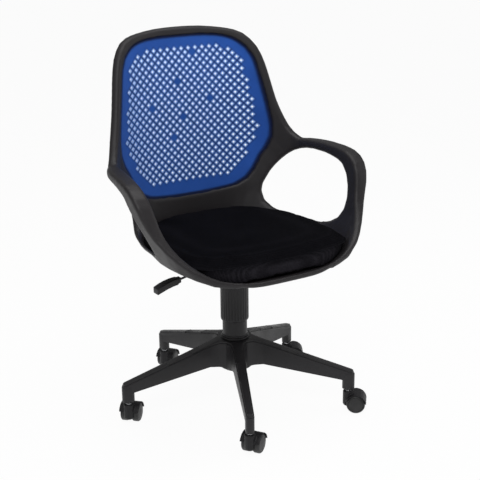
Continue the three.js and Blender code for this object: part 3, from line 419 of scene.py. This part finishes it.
def seatKnit(k):
    f = Finish("seatSpacerKnit", k["dark"], k["rough"])
    f.shader.inputs["Specular IOR Level"].default_value = k["specular"]
    pores = f.node("TexVoronoi", Vector=f.place, Scale=1 / k["pitch"], Randomness=k["unevenness"])
    thread = f.spread(pores.outputs["Distance"], k["poreFrom"], k["poreTo"], 0.0, 1.0)
    height = f.node("SeparateXYZ", Vector=f.place).outputs["Z"]
    # Painted light and shade by height: lighter on the side, darker on the top.
    light = f.blended(f.spread(height, k["sideTo"], k["topFrom"], 0.0, 1.0), k["sidePaintedLighter"], k["topPaintedDarker"])
    f.colours(f.maths("ADD", thread, blotches(f, k)), k["dark"], light)
    f.relief(pores.outputs["Distance"], k["depth"], k["strength"])
    return f.material


plastics = {
    "shellMoulding": {"dark": (0.013, 0.0115, 0.013), "light": (0.018, 0.016, 0.0175),
                      "smooth": 0.42, "rough": 0.54, "grain": 1500.0},
    "baseNylon": {"dark": (0.014, 0.0135, 0.0145), "light": (0.021, 0.020, 0.022),
                  "smooth": 0.36, "rough": 0.50, "grain": 1300.0},
    "hoodNylon": {"dark": (0.007, 0.007, 0.008), "light": (0.011, 0.010, 0.012),
                  "smooth": 0.42, "rough": 0.56, "grain": 1300.0},
    "gripMoulding": {"dark": (0.014, 0.014, 0.015), "light": (0.020, 0.019, 0.021),
                     "smooth": 0.42, "rough": 0.55, "grain": 1500.0},
}
surfaces = {name: mouldedFinish(name, **p) for name, p in plastics.items()}
surfaces |= {name: grainedFinish(name) for name in grained}
finishes = {
    "shell_plastic": surfaces["shellMoulding"],
    "nylon": surfaces["baseNylon"],
    "grip_plastic": surfaces["gripMoulding"],
    "wheel_rubber": surfaces["wheelTread"],
    "steel": surfaces["brightZinc"],
    "black_steel": surfaces["blackPowderCoat"],
    "blue_plastic": surfaces["bluePlastic"],
    "blue_mesh": backKnit(knit),
    "seat_fabric": seatKnit(spacer),
    "plywood": plyFinish(ply),
}
slotOf = {s["node"]: s["material_slot"] for s in frame["record"]["subparts"]}
bodyOf = {n: b for b, members in frame["record"]["behaviour"]["bodies"].items() for n in members}
joints = {j["name"]: j for j in frame["joints"]}
for name, node in nodes.items():
    node.data.materials.clear()
    node.data.materials.append(finishes[slotOf[name]])
print("finishes made:", len(finishes))


def pickOnly(piece):
    bpy.ops.object.select_all(action="DESELECT")
    piece.hide_set(False)
    piece.select_set(True)
    bpy.context.view_layer.objects.active = piece


def applied(piece, kind, **settings):
    pickOnly(piece)
    made = piece.modifiers.new(kind.lower(), kind)
    for name, value in settings.items():
        setattr(made, name, value)
    bpy.ops.object.modifier_apply(modifier=made.name)


def bevelled(piece, width, segments, sharperThan):
    applied(piece, "BEVEL", width=width, segments=segments, limit_method="ANGLE",
            angle_limit=math.radians(sharperThan))


def remade(piece, grain, rounding):
    # New faces of one size, smoothed a number of times; both round the edges.
    applied(piece, "REMESH", mode="VOXEL", voxel_size=grain, use_smooth_shade=True)
    applied(piece, "SMOOTH", factor=0.5, iterations=rounding)


sameSpot = 1e-5            # metres; vertices nearer than this are merged


def mergedCopy(node, name):
    # The CAD node is loose triangles, so its copy is merged before anything else is done to it.
    piece = bpy.data.objects.new(name, nodes[node].data.copy())
    scene.collection.objects.link(piece)
    pickOnly(piece)
    bpy.ops.object.mode_set(mode="EDIT")
    bpy.ops.mesh.select_all(action="SELECT")
    bpy.ops.mesh.remove_doubles(threshold=sameSpot)
    bpy.ops.object.mode_set(mode="OBJECT")
    if piece.data.has_custom_normals:
        bpy.ops.mesh.customdata_custom_splitnormals_clear()
    return piece


def finished(piece, *stoodFor, smoothAngle=None, finish=None):
    pickOnly(piece)
    if smoothAngle is None:
        bpy.ops.object.shade_smooth()
    else:
        bpy.ops.object.shade_smooth_by_angle(angle=math.radians(smoothAngle))
    piece.data.materials.clear()
    piece.data.materials.append(finish or finishes[slotOf[stoodFor[0]]])
    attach(piece, bodyOf[stoodFor[0]])
    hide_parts(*stoodFor)
    return piece


def footOf(node):
    low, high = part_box(node)
    return (low.x + high.x) / 2, (low.y + high.y) / 2, low.z


def copied(piece, name):
    # Another piece of the same shape, with a mesh of its own.
    twin = bpy.data.objects.new(name, piece.data.copy())
    scene.collection.objects.link(twin)
    return twin


# Moulded pieces: grain is the size of their new faces in millimetres, rounding how often they are
# smoothed.
moulded = {
    "hoopShell": {"node": "shell_frame", "grain": 3.2, "rounding": 9},
    "leverRod": {"node": "lever_rod", "grain": 0.9, "rounding": 3},
}
for k in range(1, 6):
    moulded[f"casterHood{k}"] = {
        "node": f"caster_{k}_hood", "grain": 1.1, "rounding": 3, "finish": surfaces["hoodNylon"]}


def roundedMoulding(name, m):
    piece = mergedCopy(m["node"], name)
    remade(piece, m["grain"] / 1000, m["rounding"])
    return finished(piece, m["node"], finish=m.get("finish"))


for name, m in moulded.items():
    piece = roundedMoulding(name, m)
    print(name, len(piece.data.polygons), "faces")

# Pieces with true corners: edge is the width of the small round on each in millimetres, smooth the
# angle in degrees below which two faces shade as one.
edged = {
    "starBase": {"node": "star_base", "edge": 1.2, "segments": 3, "smooth": 32},
    "seatPlate": {"node": "seat_plate", "edge": 0.6, "segments": 2, "smooth": 35},
    "mechanismChannel": {"node": "mechanism_channel", "edge": 0.7, "segments": 2, "smooth": 35},
    "seatBoard": {"node": "seat_board", "edge": 1.0, "segments": 2, "smooth": 35},
}
# Two faces are one flat below the first angle, and meet in an edge to round above the second.
edgeAngles = {"flat": 1.0, "sharp": 30}


def edgedPiece(name, e):
    piece = mergedCopy(e["node"], name)
    applied(piece, "DECIMATE", decimate_type="DISSOLVE", angle_limit=math.radians(edgeAngles["flat"]))
    bevelled(piece, e["edge"] / 1000, e["segments"], edgeAngles["sharp"])
    return finished(piece, e["node"], smoothAngle=e["smooth"])


for name, e in edged.items():
    piece = edgedPiece(name, e)
    print(name, len(piece.data.polygons), "faces")

# The lever's grip: a socket for the rod, a collar and a flat paddle. Each section says how far along
# it is, how far it reaches above and below the rod's line, and half its width, in millimetres.
leverGrip = {
    "pivotX": -26, "pivotZ": 389, "fall": 0.2,
    "sections": [
        (-165.5, 3.3, 3.3, 3.3), (-154, 3.3, 3.3, 3.3), (-154, 6.3, 6.3, 7.0), (-161, 6.6, 6.6, 7.6),
        (-163.8, 8.0, 7.8, 10.0), (-178, 9.0, 6.2, 11.6), (-194, 8.6, 6.8, 12.2), (-208, 6.6, 8.8, 12.4),
        (-221, 3.4, 11.2, 12.0),
    ],
    "step": 1.0,
    "edge": 1.2, "edgeSegments": 3, "edgeAngle": 12,
    "rodFrom": -60, "rodShare": 0.72,  # from there on the rod is left with this share of its width
}


def rodLine(g, x):
    # The height of the rod's own line, in millimetres like all the rest.
    return g["pivotZ"] - g["fall"] * (g["pivotX"] - x)


def slimRod(g):
    for vert in bpy.data.objects["leverRod"].data.vertices:
        if vert.co.x * 1000 < g["rodFrom"]:
            line = rodLine(g, vert.co.x * 1000) / 1000
            vert.co.y *= g["rodShare"]
            vert.co.z = line + (vert.co.z - line) * g["rodShare"]


def buildLeverGrip(g):
    bpy.ops.object.select_all(action="DESELECT")
    bpy.ops.mesh.primitive_plane_add(size=0.01, rotation=(0, math.pi / 2, 0))
    piece = bpy.context.object
    piece.name = "leverGrip"
    pickOnly(piece)
    bpy.ops.object.transform_apply(location=True, rotation=True, scale=True)
    bpy.ops.object.mode_set(mode="EDIT")
    bpy.ops.mesh.select_mode(type="FACE")
    bpy.ops.mesh.select_all(action="SELECT")
    middle = 0.0
    for number, (x, up, down, width) in enumerate(g["sections"]):
        if number:
            bpy.ops.mesh.extrude_region_move(TRANSFORM_OT_translate={"value": (-g["step"] / 1000, 0, 0)})
        mesh = bmesh.from_edit_mesh(piece.data)
        line = rodLine(g, x)
        for vert in (v for v in mesh.verts if v.select):
            above = vert.co.z > middle
            vert.co = Vector((x, math.copysign(width, vert.co.y), line + (up if above else -down))) / 1000
        middle = line / 1000
        bmesh.update_edit_mesh(piece.data)
    bpy.ops.mesh.select_all(action="SELECT")
    bpy.ops.mesh.normals_make_consistent(inside=False)
    bpy.ops.object.mode_set(mode="OBJECT")
    bevelled(piece, g["edge"] / 1000, g["edgeSegments"], g["edgeAngle"])
    finished(piece, "lever_grip", smoothAngle=40)
    print("leverGrip", len(piece.data.polygons), "faces")


buildLeverGrip(leverGrip)
slimRod(leverGrip)


def turnedPiece(name, section, steps):
    # A section of [radius, height] pairs is extruded point by point and spun round Z.
    bpy.ops.object.select_all(action="DESELECT")
    bpy.ops.mesh.primitive_plane_add(size=0.001)
    piece = bpy.context.object
    piece.name = name
    bpy.ops.object.mode_set(mode="EDIT")
    bpy.ops.mesh.select_mode(type="VERT")
    bpy.ops.mesh.select_all(action="SELECT")
    bpy.ops.mesh.merge(type="CENTER")
    bpy.ops.transform.translate(value=(section[0][0], 0, section[0][1]))
    for (r0, z0), (r1, z1) in zip(section, section[1:]):
        bpy.ops.mesh.extrude_region_move(TRANSFORM_OT_translate={"value": (r1 - r0, 0, z1 - z0)})
    bpy.ops.mesh.select_all(action="SELECT")
    bpy.ops.mesh.spin(steps=steps, angle=2 * math.pi, center=(0, 0, 0), axis=(0, 0, 1))
    bpy.ops.mesh.select_all(action="SELECT")
    bpy.ops.mesh.remove_doubles(threshold=sameSpot)
    bpy.ops.mesh.normals_make_consistent(inside=False)
    bpy.ops.object.mode_set(mode="OBJECT")
    return piece


# The column's covers, tube and socket; lengths in metres.
column = {
    "steps": 96,
    "tubeBore": 0.023, "tubeFloor": 0.003, "tubeEdge": 0.0006, "rodHole": 0.0053,
    "lowerRadius": 0.031, "lowerBore": 0.0288, "footBore": 0.0253, "lowerEdge": 0.0004,
    "sleeveBore": 0.0324, "sleeveTopBore": 0.0183, "sleeveRoof": 0.003,
    "flutes": 30, "fluteSteps": 8, "fluteDepth": 0.0013,
    "fluteRound": 0.7,     # below one the flutes get wider and their sides steeper
    "aboveFoot": 0.0070, "belowTop": 0.0048,  # where the flutes end
    "skin": 0.0001,        # only points this near the outside are moved
    "socketBore": 0.0143, "socketTaper": 0.0012,
    "edgeSegments": 2, "edgeAngle": 25,
}


def buildLowerCover(c):
    low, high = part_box("lower_cover")
    flange, foot, top = high.x, low.z, high.z
    wall, bore = c["lowerRadius"], c["lowerBore"]
    piece = turnedPiece("lowerCover", [
        (c["footBore"], foot), (flange - 0.0015, foot), (flange, foot + 0.0015), (flange, foot + 0.0042),
        (flange - 0.0013, foot + 0.0054), (wall + 0.0006, foot + 0.0058), (wall + 0.0006, foot + 0.0072),
        (wall + 0.0026, foot + 0.0077), (wall + 0.0026, foot + 0.0094), (wall, foot + 0.0112),
        (wall, top - 0.001), (wall - 0.0006, top), (bore, top), (bore, foot + 0.008),
        (c["footBore"], foot + 0.006), (c["footBore"], foot),
    ], c["steps"])
    bevelled(piece, c["lowerEdge"], c["edgeSegments"], c["edgeAngle"])
    finished(piece, "lower_cover", smoothAngle=40)


def buildSleeve(c):
    low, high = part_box("upper_cover")
    outer, foot, top = high.x, low.z, high.z
    piece = turnedPiece("flutedSleeve", [
        (c["sleeveBore"], foot), (outer - 0.0022, foot), (outer - 0.0008, foot + 0.0012),
        (outer, foot + 0.0036), (outer, foot + 0.0060), (outer, foot + 0.0078), (outer, top - 0.0056),
        (outer, top - 0.0040), (outer, top - 0.0015), (outer - 0.0015, top), (c["sleeveTopBore"], top),
        (c["sleeveTopBore"], top - c["sleeveRoof"]), (c["sleeveBore"], top - c["sleeveRoof"]),
        (c["sleeveBore"], foot),
    ], c["flutes"] * c["fluteSteps"])
    for vert in piece.data.vertices:
        radius = math.hypot(vert.co.x, vert.co.y)
        if radius > outer - c["skin"] and foot + c["aboveFoot"] < vert.co.z < top - c["belowTop"]:
            turn = c["flutes"] * math.atan2(vert.co.y, vert.co.x)
            vert.co.xy *= 1 - c["fluteDepth"] / radius * max(0.0, math.cos(turn)) ** c["fluteRound"]
    finished(piece, "upper_cover", smoothAngle=50)


def buildTube(c):
    low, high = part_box("column_tube")
    piece = turnedPiece("columnTube", [
        (c["rodHole"], low.z), (high.x, low.z), (high.x, high.z), (c["tubeBore"], high.z),
        (c["tubeBore"], low.z + c["tubeFloor"]), (c["rodHole"], low.z + c["tubeFloor"]),
        (c["rodHole"], low.z),
    ], c["steps"])
    bevelled(piece, c["tubeEdge"], c["edgeSegments"], c["edgeAngle"])
    finished(piece, "column_tube", smoothAngle=40)


def buildSocket(c):
    low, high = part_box("taper_socket")
    piece = turnedPiece("taperSocket", [
        (c["socketBore"], low.z), (high.x, low.z), (high.x, high.z),
        (c["socketBore"] - c["socketTaper"], high.z), (c["socketBore"], low.z),
    ], c["steps"])
    bevelled(piece, c["tubeEdge"], c["edgeSegments"], c["edgeAngle"])
    finished(piece, "taper_socket", smoothAngle=40)


buildLowerCover(column)
buildSleeve(column)
buildTube(column)
buildSocket(column)
print("column covers, tube and socket turned")

# Casters: sections of a wheel, along its axle from the middle of the fork, and of a stem.
caster = {
    "wheelSteps": 64,
    "wheel": [
        (0, 0.0203), (0.0043, 0.0203), (0.0043, 0.0068), (0.0095, 0.0068), (0.0110, 0.0084),
        (0.0188, 0.0084), (0.0200, 0.0068), (0.0218, 0.0068), (0.0230, 0.0076), (0.0235, 0.0094),
        (0.0235, 0.0192), (0.0231, 0.0208), (0.0219, 0.0221), (0.0200, 0.0228), (0.0192, 0.0221),
        (0.0184, 0.0221), (0.0176, 0.0230), (0.0120, 0.0240), (0.0060, 0.0244), (0, 0.0244),
    ],
    "stemSteps": 32,
    "stem": [
        (0, 0), (0.0045, 0), (0.0055, 0.001), (0.0055, 0.0243), (0.0080, 0.0243), (0.0080, 0.0262),
        (0.0074, 0.0268), (0.0055, 0.0273), (0.0055, 0.0560), (0.0049, 0.0566), (0.0049, 0.0590),
        (0.0055, 0.0596), (0.0055, 0.0690), (0.0040, 0.0710), (0, 0.0710),
    ],
}


def buildCasters(c):
    wheel = turnedPiece("wheelPattern", c["wheel"], c["wheelSteps"])
    stem = turnedPiece("stemPattern", c["stem"], c["stemSteps"])
    for k in range(1, 6):
        for side, way in (("left", 1), ("right", -1)):
            node = f"caster_{k}_wheel_{side}"
            joint = joints[f"caster_{k}_{side}_spin"]
            turned = (Vector(joint["axis"]) * way).to_track_quat("Z", "Y").to_matrix().to_4x4()
            piece = copied(wheel, f"casterWheel{k}{side.capitalize()}")
            piece.data.transform(Matrix.Translation(joint["pos_m"]) @ turned)
            finished(piece, node, smoothAngle=28)
        piece = copied(stem, f"casterStem{k}")
        piece.data.transform(Matrix.Translation(footOf(f"caster_{k}_stem")))
        finished(piece, f"caster_{k}_stem", smoothAngle=35)
    for pattern in (wheel, stem):
        bpy.data.objects.remove(pattern)


buildCasters(caster)
print("wheels and stems turned")

# The seat's bolts: a six-sided head with a round flange under it, and the shank going up.
bolt = {
    "head": 0.0058, "headHeight": 0.0034, "corners": 6,
    "flange": 0.0074, "shank": 0.0030, "steps": 24,
}


def buildBolts(b):
    for k in range(1, 5):
        node = f"seat_bolt_{k}"
        low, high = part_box(node)
        height = high.z - low.z
        shank = turnedPiece(f"seatBolt{k}", [
            (0, 0.0005), (b["head"] - 0.0016, 0.0005), (b["head"] - 0.0016, b["headHeight"] - 0.0004),
            (b["flange"] - 0.0008, b["headHeight"] - 0.0004), (b["flange"] - 0.0014, 0.004),
            (b["shank"], 0.004), (b["shank"], height - 0.001), (b["shank"] - 0.001, height), (0, height),
        ], b["steps"])
        head = turnedPiece("boltHead", [
            (0, 0), (b["head"] - 0.0008, 0), (b["head"], 0.0006), (b["head"], b["headHeight"] - 0.0006),
            (0, b["headHeight"] - 0.0006),
        ], b["corners"])
        pickOnly(shank)
        head.select_set(True)
        bpy.ops.object.join()
        shank.data.transform(Matrix.Translation(footOf(node)))
        finished(shank, node, smoothAngle=30)


buildBolts(bolt)
print("seat bolts made")

# The seat pad: foam in a stretched spacer knit, swollen by pressure inside the room it has. In metres.
seatPad = {
    "grain": 0.005,
    "rounding": 3,
    "shrink": 0.002,       # how much smaller the pad starts
    # The rise of the top's edge, between two heights; it sets in within the first part of them.
    "shoulderFrom": 0.438, "shoulderTo": 0.466, "shoulderLift": 0.008, "shoulderSteepness": 5,
    # The underside near the edge is let down on to the tray. Faces turned up more than faceUp stay.
    "feelsDown": 0.03, "settlesBelow": 0.436, "faceUp": 0.4,
    "trayClearance": 0.003, "mostSettled": 0.012,
    # The upper part is drawn out to the tray's wall, felt for at some heights in every direction.
    "directions": 72,
    "wallFrom": 0.452, "wallTo": 0.409, "wallSteps": 9,
    "wallInside": 0.02,    # a hit further inside the pad's own reach is not the wall
    "wallClearance": 0.0045, "mostSpread": 0.014,
    "spreadFrom": 0.396, "spreadTo": 0.416,  # heights between which the spread sets in
    "lastRounding": 2,
    "pressure": 4.0, "quality": 6, "frames": 20,
    "mostOut": 0.0035,     # furthest that the pressure may move a point sideways, up and down
    "mostUp": 0.009,
    "mostDown": 0.002,
}


def withNormals(piece):
    # Every point with its normal; the normals are taken first, because moving points changes them.
    return zip(piece.data.vertices, [v.normal.copy() for v in piece.data.vertices])


def pointsOf(mesh):
    return np.array([v.co for v in mesh.vertices])


def moveTo(piece, places):
    piece.data.vertices.foreach_set("co", places.astype(np.float32).ravel())
    piece.data.update()


def swollen(piece, p):
    start = pointsOf(piece.data)
    cloth = piece.modifiers.new("cloth", "CLOTH")
    cloth.settings.use_pressure = True
    cloth.settings.uniform_pressure_force = p["pressure"]
    cloth.settings.effector_weights.gravity = 0
    cloth.settings.quality = p["quality"]
    cloth.point_cache.frame_start = 1
    cloth.point_cache.frame_end = p["frames"]
    for number in range(1, p["frames"] + 1):
        scene.frame_set(number)
    evaluated = piece.evaluated_get(bpy.context.evaluated_depsgraph_get())
    moved = pointsOf(evaluated.to_mesh()) - start
    evaluated.to_mesh_clear()
    piece.modifiers.remove(cloth)
    scene.frame_set(1)
    out = np.linalg.norm(moved[:, :2], axis=1, keepdims=True)
    moved[:, :2] *= np.minimum(1.0, p["mostOut"] / np.maximum(out, 1e-9))
    moved[:, 2] = np.clip(moved[:, 2], -p["mostDown"], p["mostUp"])
    moveTo(piece, start + moved)
    print("pad swollen: median", round(float(np.median(np.linalg.norm(moved, axis=1))) * 1000, 1), "mm")


def trayWall():
    guide = mergedCopy("shell_frame", "wallGuide")
    wall = BVHTree.FromPolygons(
        [v.co for v in guide.data.vertices], [f.vertices for f in guide.data.polygons])
    bpy.data.objects.remove(guide)
    return wall


def letDown(piece, wall, p):
    for vert, normal in withNormals(piece):
        away = wall.ray_cast(vert.co, Vector((0, 0, -1)))[3]
        if away is not None and away < p["feelsDown"] and vert.co.z < p["settlesBelow"]:
            share = min(1.0, max(0.0, p["faceUp"] - normal.z) / p["faceUp"])
            vert.co.z -= share * min(max(away - p["trayClearance"], 0.0), p["mostSettled"])
    piece.data.update()


def roomToWall(wall, middle, own, p):
    # How far the outermost point in each direction may go, evened out with the directions beside it.
    room = np.zeros(len(own))
    for k, reach in enumerate(own):
        angle = (k + 0.5) / len(own) * 2 * math.pi - math.pi
        outward = Vector((math.cos(angle), math.sin(angle), 0))
        for z in np.linspace(p["wallFrom"], p["wallTo"], p["wallSteps"]):
            away = wall.ray_cast(Vector((middle[0], middle[1], z)), outward)[3]
            if away is not None and away > reach - p["wallInside"]:
                room[k] = min(max(away - p["wallClearance"] - reach, 0.0), p["mostSpread"])
                break
    return sum(np.roll(room, shift) for shift in (-1, 0, 1)) / 3


def spreadToWall(piece, wall, p):
    # In each direction the pad's upper part is drawn out until it nearly meets the tray's wall.
    count = p["directions"]
    places = pointsOf(piece.data)
    middle = (places.min(axis=0) + places.max(axis=0)) / 2
    off = places[:, :2] - middle[:2]
    reach = np.hypot(off[:, 1], off[:, 0])
    turn = (np.arctan2(off[:, 1], off[:, 0]) + math.pi) / (2 * math.pi) * count
    sector = turn.astype(int) % count
    own = np.array([reach[sector == k].max() for k in range(count)])
    room = roomToWall(wall, middle, own, p)
    ring = np.arange(-1, count + 1)
    spread = np.interp(turn - 0.5, ring, room[ring % count])
    limit = np.interp(turn - 0.5, ring, own[ring % count])
    rise = np.clip((places[:, 2] - p["spreadFrom"]) / (p["spreadTo"] - p["spreadFrom"]), 0, 1)
    share = spread / limit * np.minimum(1, reach / limit) ** 2 * rise
    places[:, :2] += off * share[:, None]
    moveTo(piece, places)
    print("pad spread to the wall: up to", round(float(room.max()) * 1000, 1), "mm")


def buildSeatPad(p):
    piece = mergedCopy("seat_cushion", "seatPad")
    remade(piece, p["grain"], p["rounding"])
    for vert, normal in withNormals(piece):
        vert.co -= normal * p["shrink"]
        if vert.co.z > p["shoulderFrom"]:
            share = (vert.co.z - p["shoulderFrom"]) / (p["shoulderTo"] - p["shoulderFrom"])
            lift = p["shoulderLift"] * max(0.0, 1 - share)
            vert.co.z += lift * min(1.0, p["shoulderSteepness"] * share)
    wall = trayWall()
    letDown(piece, wall, p)
    spreadToWall(piece, wall, p)
    applied(piece, "SMOOTH", factor=0.5, iterations=p["lastRounding"])
    swollen(piece, p)
    applied(piece, "SUBSURF", levels=1, render_levels=1)
    finished(piece, "seat_cushion")
    print("seat pad:", len(piece.data.polygons), "faces")


buildSeatPad(seatPad)

# The back: a plastic lattice held in the hoop's groove, with the knit stretched over its front.
back = {
    "cell": 0.02,          # across a diamond, corner to corner
    "latticeHole": 0.0115,
    "knitHole": 0.0052,
    "border": 0.0345,      # plain band inside the hoop
    "footBorder": 0.011,   # how much wider it is at the foot
    "borderCuts": 3,
    "closed": (            # middles of the diamonds that are not pierced
        (-0.02, 0.8005), (0.07, 0.7505), (-0.10, 0.7405),
        (-0.01, 0.7105), (-0.04, 0.6605), (0.03, 0.8705)),
    "netReach": 1.5,       # half the uncut net, in half heights of the back
    "outside": 0.001,      # diamonds wholly this far outside the outline are dropped at once
    "wholeArea": 0.45,     # least area of an unpierced diamond, in widths squared; the true one is a half
    "merged": 0.0003,      # vertices nearer than this become one
    "grooveShadeFrom": 0.008, "grooveShadeTo": 0.013,  # painted shade: the knit is darkened as it runs into the groove
    "latticeThickness": 0.0036,
    "knitThickness": 0.0010,
}
# Finding the front of a node. It starts at the face that looks most to the front and lies foremost, and
# goes on over every edge that bends less than the sharp angle. Angles in radians.
frontSearch = {
    "sharp": 0.6,
    "openEdge": 3.2,       # counts as the bend of an edge with one face
    "foremost": 4,         # weight of a metre forward against the way the face looks
}


class BackForm:
    # The node's own bend and outline, so that new flat work can be laid on it.
    def __init__(self, node):
        low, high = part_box(node)
        self.middle = (low.z + high.z) / 2
        self.half = (high.z - low.z) / 2
        guide = mergedCopy(node, "backGuide")
        faces = self.frontFaces(guide)
        front = np.array([v.co for v in {v for f in faces for v in f.verts}])
        self.front = np.linalg.lstsq(self.terms(front[:, 0], front[:, 2]), front[:, 1], rcond=None)[0]
        inFront = set(faces)
        rim = {v for f in faces for e in f.edges if not inFront.issuperset(e.link_faces) for v in e.verts}
        rim = np.array([v.co for v in rim])
        angles = np.arctan2(rim[:, 2] - self.middle, rim[:, 0])
        order = np.argsort(angles)
        reach = np.hypot(rim[:, 2] - self.middle, rim[:, 0])[order]
        turn = 2 * math.pi
        self.angles = np.concatenate([angles[order] - turn, angles[order], angles[order] + turn])
        self.reach = np.tile(reach, 3)
        self.mesh.free()
        bpy.data.objects.remove(guide)

    def frontFaces(self, guide):
        # All that joins the foremost middle face without crossing a sharp edge.
        self.mesh = bmesh.new()
        self.mesh.from_mesh(guide.data)
        s = frontSearch
        first = min(self.mesh.faces, key=lambda f: f.normal.y + s["foremost"] * f.calc_center_median().y)
        found, waiting = {first}, [first]
        while waiting:
            for edge in waiting.pop().edges:
                if edge.calc_face_angle(s["openEdge"]) > s["sharp"]:
                    continue
                for face in edge.link_faces:
                    if face not in found:
                        found.add(face)
                        waiting.append(face)
        return found

    def terms(self, x, z):
        u, w = np.asarray(x) / self.half, (np.asarray(z) - self.middle) / self.half
        # Even powers across, so that left and right are bent alike.
        return np.stack([u ** i * w ** j for i in (0, 2, 4, 6) for j in (0, 1, 2, 3)], axis=-1)

    def y(self, x, z):
        return float(self.terms(x, z) @ self.front)

    def edge(self, angle):
        return float(np.interp(angle, self.angles, self.reach))

    def inside(self, x, z):
        # How far a place is inside the outline; negative outside it.
        return self.edge(math.atan2(z - self.middle, x)) - math.hypot(z - self.middle, x)

    def pierced(self, x, z, b):
        # Whether the diamond round this place has a hole.
        fall = max(0.0, (self.middle - z) / self.half)
        border = b["border"] + b["footBorder"] * fall ** 3
        away = min(abs(x - cx) + abs(z - cz) for cx, cz in b["closed"])
        return self.inside(x, z) > border and away > b["cell"] / 2


def chosen(sheet, test):
    # In edit mode: the faces that pass the test are selected and no others.
    bpy.ops.mesh.select_all(action="DESELECT")
    mesh = bmesh.from_edit_mesh(sheet.data)
    for face in mesh.faces:
        face.select_set(test(face))
    bmesh.update_edit_mesh(sheet.data)


def uncutNet(name, form, b):
    # A grid of squares in the upright plane, turned by an eighth so that they stand as diamonds.
    side = b["cell"] / math.sqrt(2)
    count = 2 * (int(b["netReach"] * form.half / side) + 2)
    bpy.ops.object.select_all(action="DESELECT")
    bpy.ops.mesh.primitive_grid_add(
        x_subdivisions=count, y_subdivisions=count, size=count * b["cell"] / math.sqrt(2),
        location=(0, 0, form.middle), rotation=(math.pi / 2, 0, 0))
    sheet = bpy.context.object
    sheet.name = name
    pickOnly(sheet)
    bpy.ops.object.transform_apply(location=True, rotation=True, scale=True)
    turn = Matrix.Rotation(math.pi / 4, 4, "Y")
    there, here = (Matrix.Translation((0, 0, height)) for height in (form.middle, -form.middle))
    sheet.data.transform(there @ turn @ here)
    return sheet


def cutNet(sheet, form, hole, b):
    # The holes first, then the plain border is divided and drawn in to the outline.
    bpy.ops.object.mode_set(mode="EDIT")
    bpy.ops.mesh.select_mode(type="FACE")
    chosen(sheet, lambda f: all(form.inside(v.co.x, v.co.z) < -b["outside"] for v in f.verts))
    bpy.ops.mesh.delete(type="FACE")
    chosen(sheet, lambda f: form.pierced(*f.calc_center_median().xz, b))
    rim = (b["cell"] - hole) / 2 / math.sqrt(2)
    bpy.ops.mesh.inset(thickness=rim, use_individual=True, use_even_offset=True)
    bpy.ops.mesh.delete(type="FACE")
    chosen(sheet, lambda f: f.calc_area() > b["wholeArea"] * b["cell"] ** 2)
    bpy.ops.mesh.subdivide(number_cuts=b["borderCuts"])
    chosen(sheet, lambda f: all(form.inside(v.co.x, v.co.z) < 0 for v in f.verts))
    bpy.ops.mesh.delete(type="FACE")
    mesh = bmesh.from_edit_mesh(sheet.data)
    for vert in mesh.verts:
        out = -form.inside(vert.co.x, vert.co.z)
        if out > 0:
            away = Vector((vert.co.x, 0, vert.co.z - form.middle))
            vert.co -= away.normalized() * out
    bmesh.update_edit_mesh(sheet.data)
    bpy.ops.mesh.select_all(action="SELECT")
    bpy.ops.mesh.remove_doubles(threshold=b["merged"])
    bpy.ops.mesh.dissolve_degenerate(threshold=b["merged"])
    bpy.ops.object.mode_set(mode="OBJECT")


def alongThreads(x, w, side):
    # A flat place counted in diamonds along the two directions of the threads.
    return (x + w) / math.sqrt(2) / side, (x - w) / math.sqrt(2) / side


def markNet(sheet, form, b):
    # What the knit's finish reads: the map of the threads, where the net is and where painted shade darkens it at
    # the groove.
    side = b["cell"] / math.sqrt(2)
    net = sheet.data.attributes.new("netShare", "FLOAT", "CORNER")
    threads = sheet.data.uv_layers.active or sheet.data.uv_layers.new(name="threads")
    for face in sheet.data.polygons:
        place = alongThreads(face.center.x, face.center.z - form.middle, side)
        u, v = (math.floor(n) + 0.5 for n in place)
        cellX, cellZ = (u + v) * side / math.sqrt(2), (u - v) * side / math.sqrt(2) + form.middle
        share = float(form.pierced(cellX, cellZ, b))
        for index in face.loop_indices:
            x, z = sheet.data.vertices[sheet.data.loops[index].vertex_index].co.xz
            threads.data[index].uv = alongThreads(x, z - form.middle, side)
            net.data[index].value = share
    # Painted shade: full at the outline, falling to nought a little way inside it.
    grooveShade = sheet.data.attributes.new("grooveShadeShare", "FLOAT", "POINT")
    for vert in sheet.data.vertices:
        share = (b["grooveShadeTo"] - form.inside(vert.co.x, vert.co.z)) / (b["grooveShadeTo"] - b["grooveShadeFrom"])
        grooveShade.data[vert.index].value = min(1.0, max(0.0, share))


def diamondSheet(name, form, hole, b):
    # A flat net of diamonds, pierced, cut to the outline and only then bent. Also gives its flat area.
    sheet = uncutNet(name, form, b)
    cutNet(sheet, form, hole, b)
    area = sum(f.area for f in sheet.data.polygons)
    markNet(sheet, form, b)
    for vert in sheet.data.vertices:
        vert.co.y = form.y(vert.co.x, vert.co.z)
    return sheet, area


def buildBack(b):
    form = BackForm("back_panel")
    lattice, _ = diamondSheet("backLattice", form, b["latticeHole"], b)
    applied(lattice, "SOLIDIFY", thickness=b["latticeThickness"], offset=-1)
    finished(lattice, "back_panel", smoothAngle=40)
    form = BackForm("back_fabric")
    cloth, area = diamondSheet("backKnit", form, b["knitHole"], b)
    applied(cloth, "SOLIDIFY", thickness=b["knitThickness"], offset=-1)
    finished(cloth, "back_fabric", smoothAngle=50)
    print("back:", len(lattice.data.polygons), "and", len(cloth.data.polygons), "faces")
    print("knit cut from", round(area, 4), "square metres")


buildBack(back)
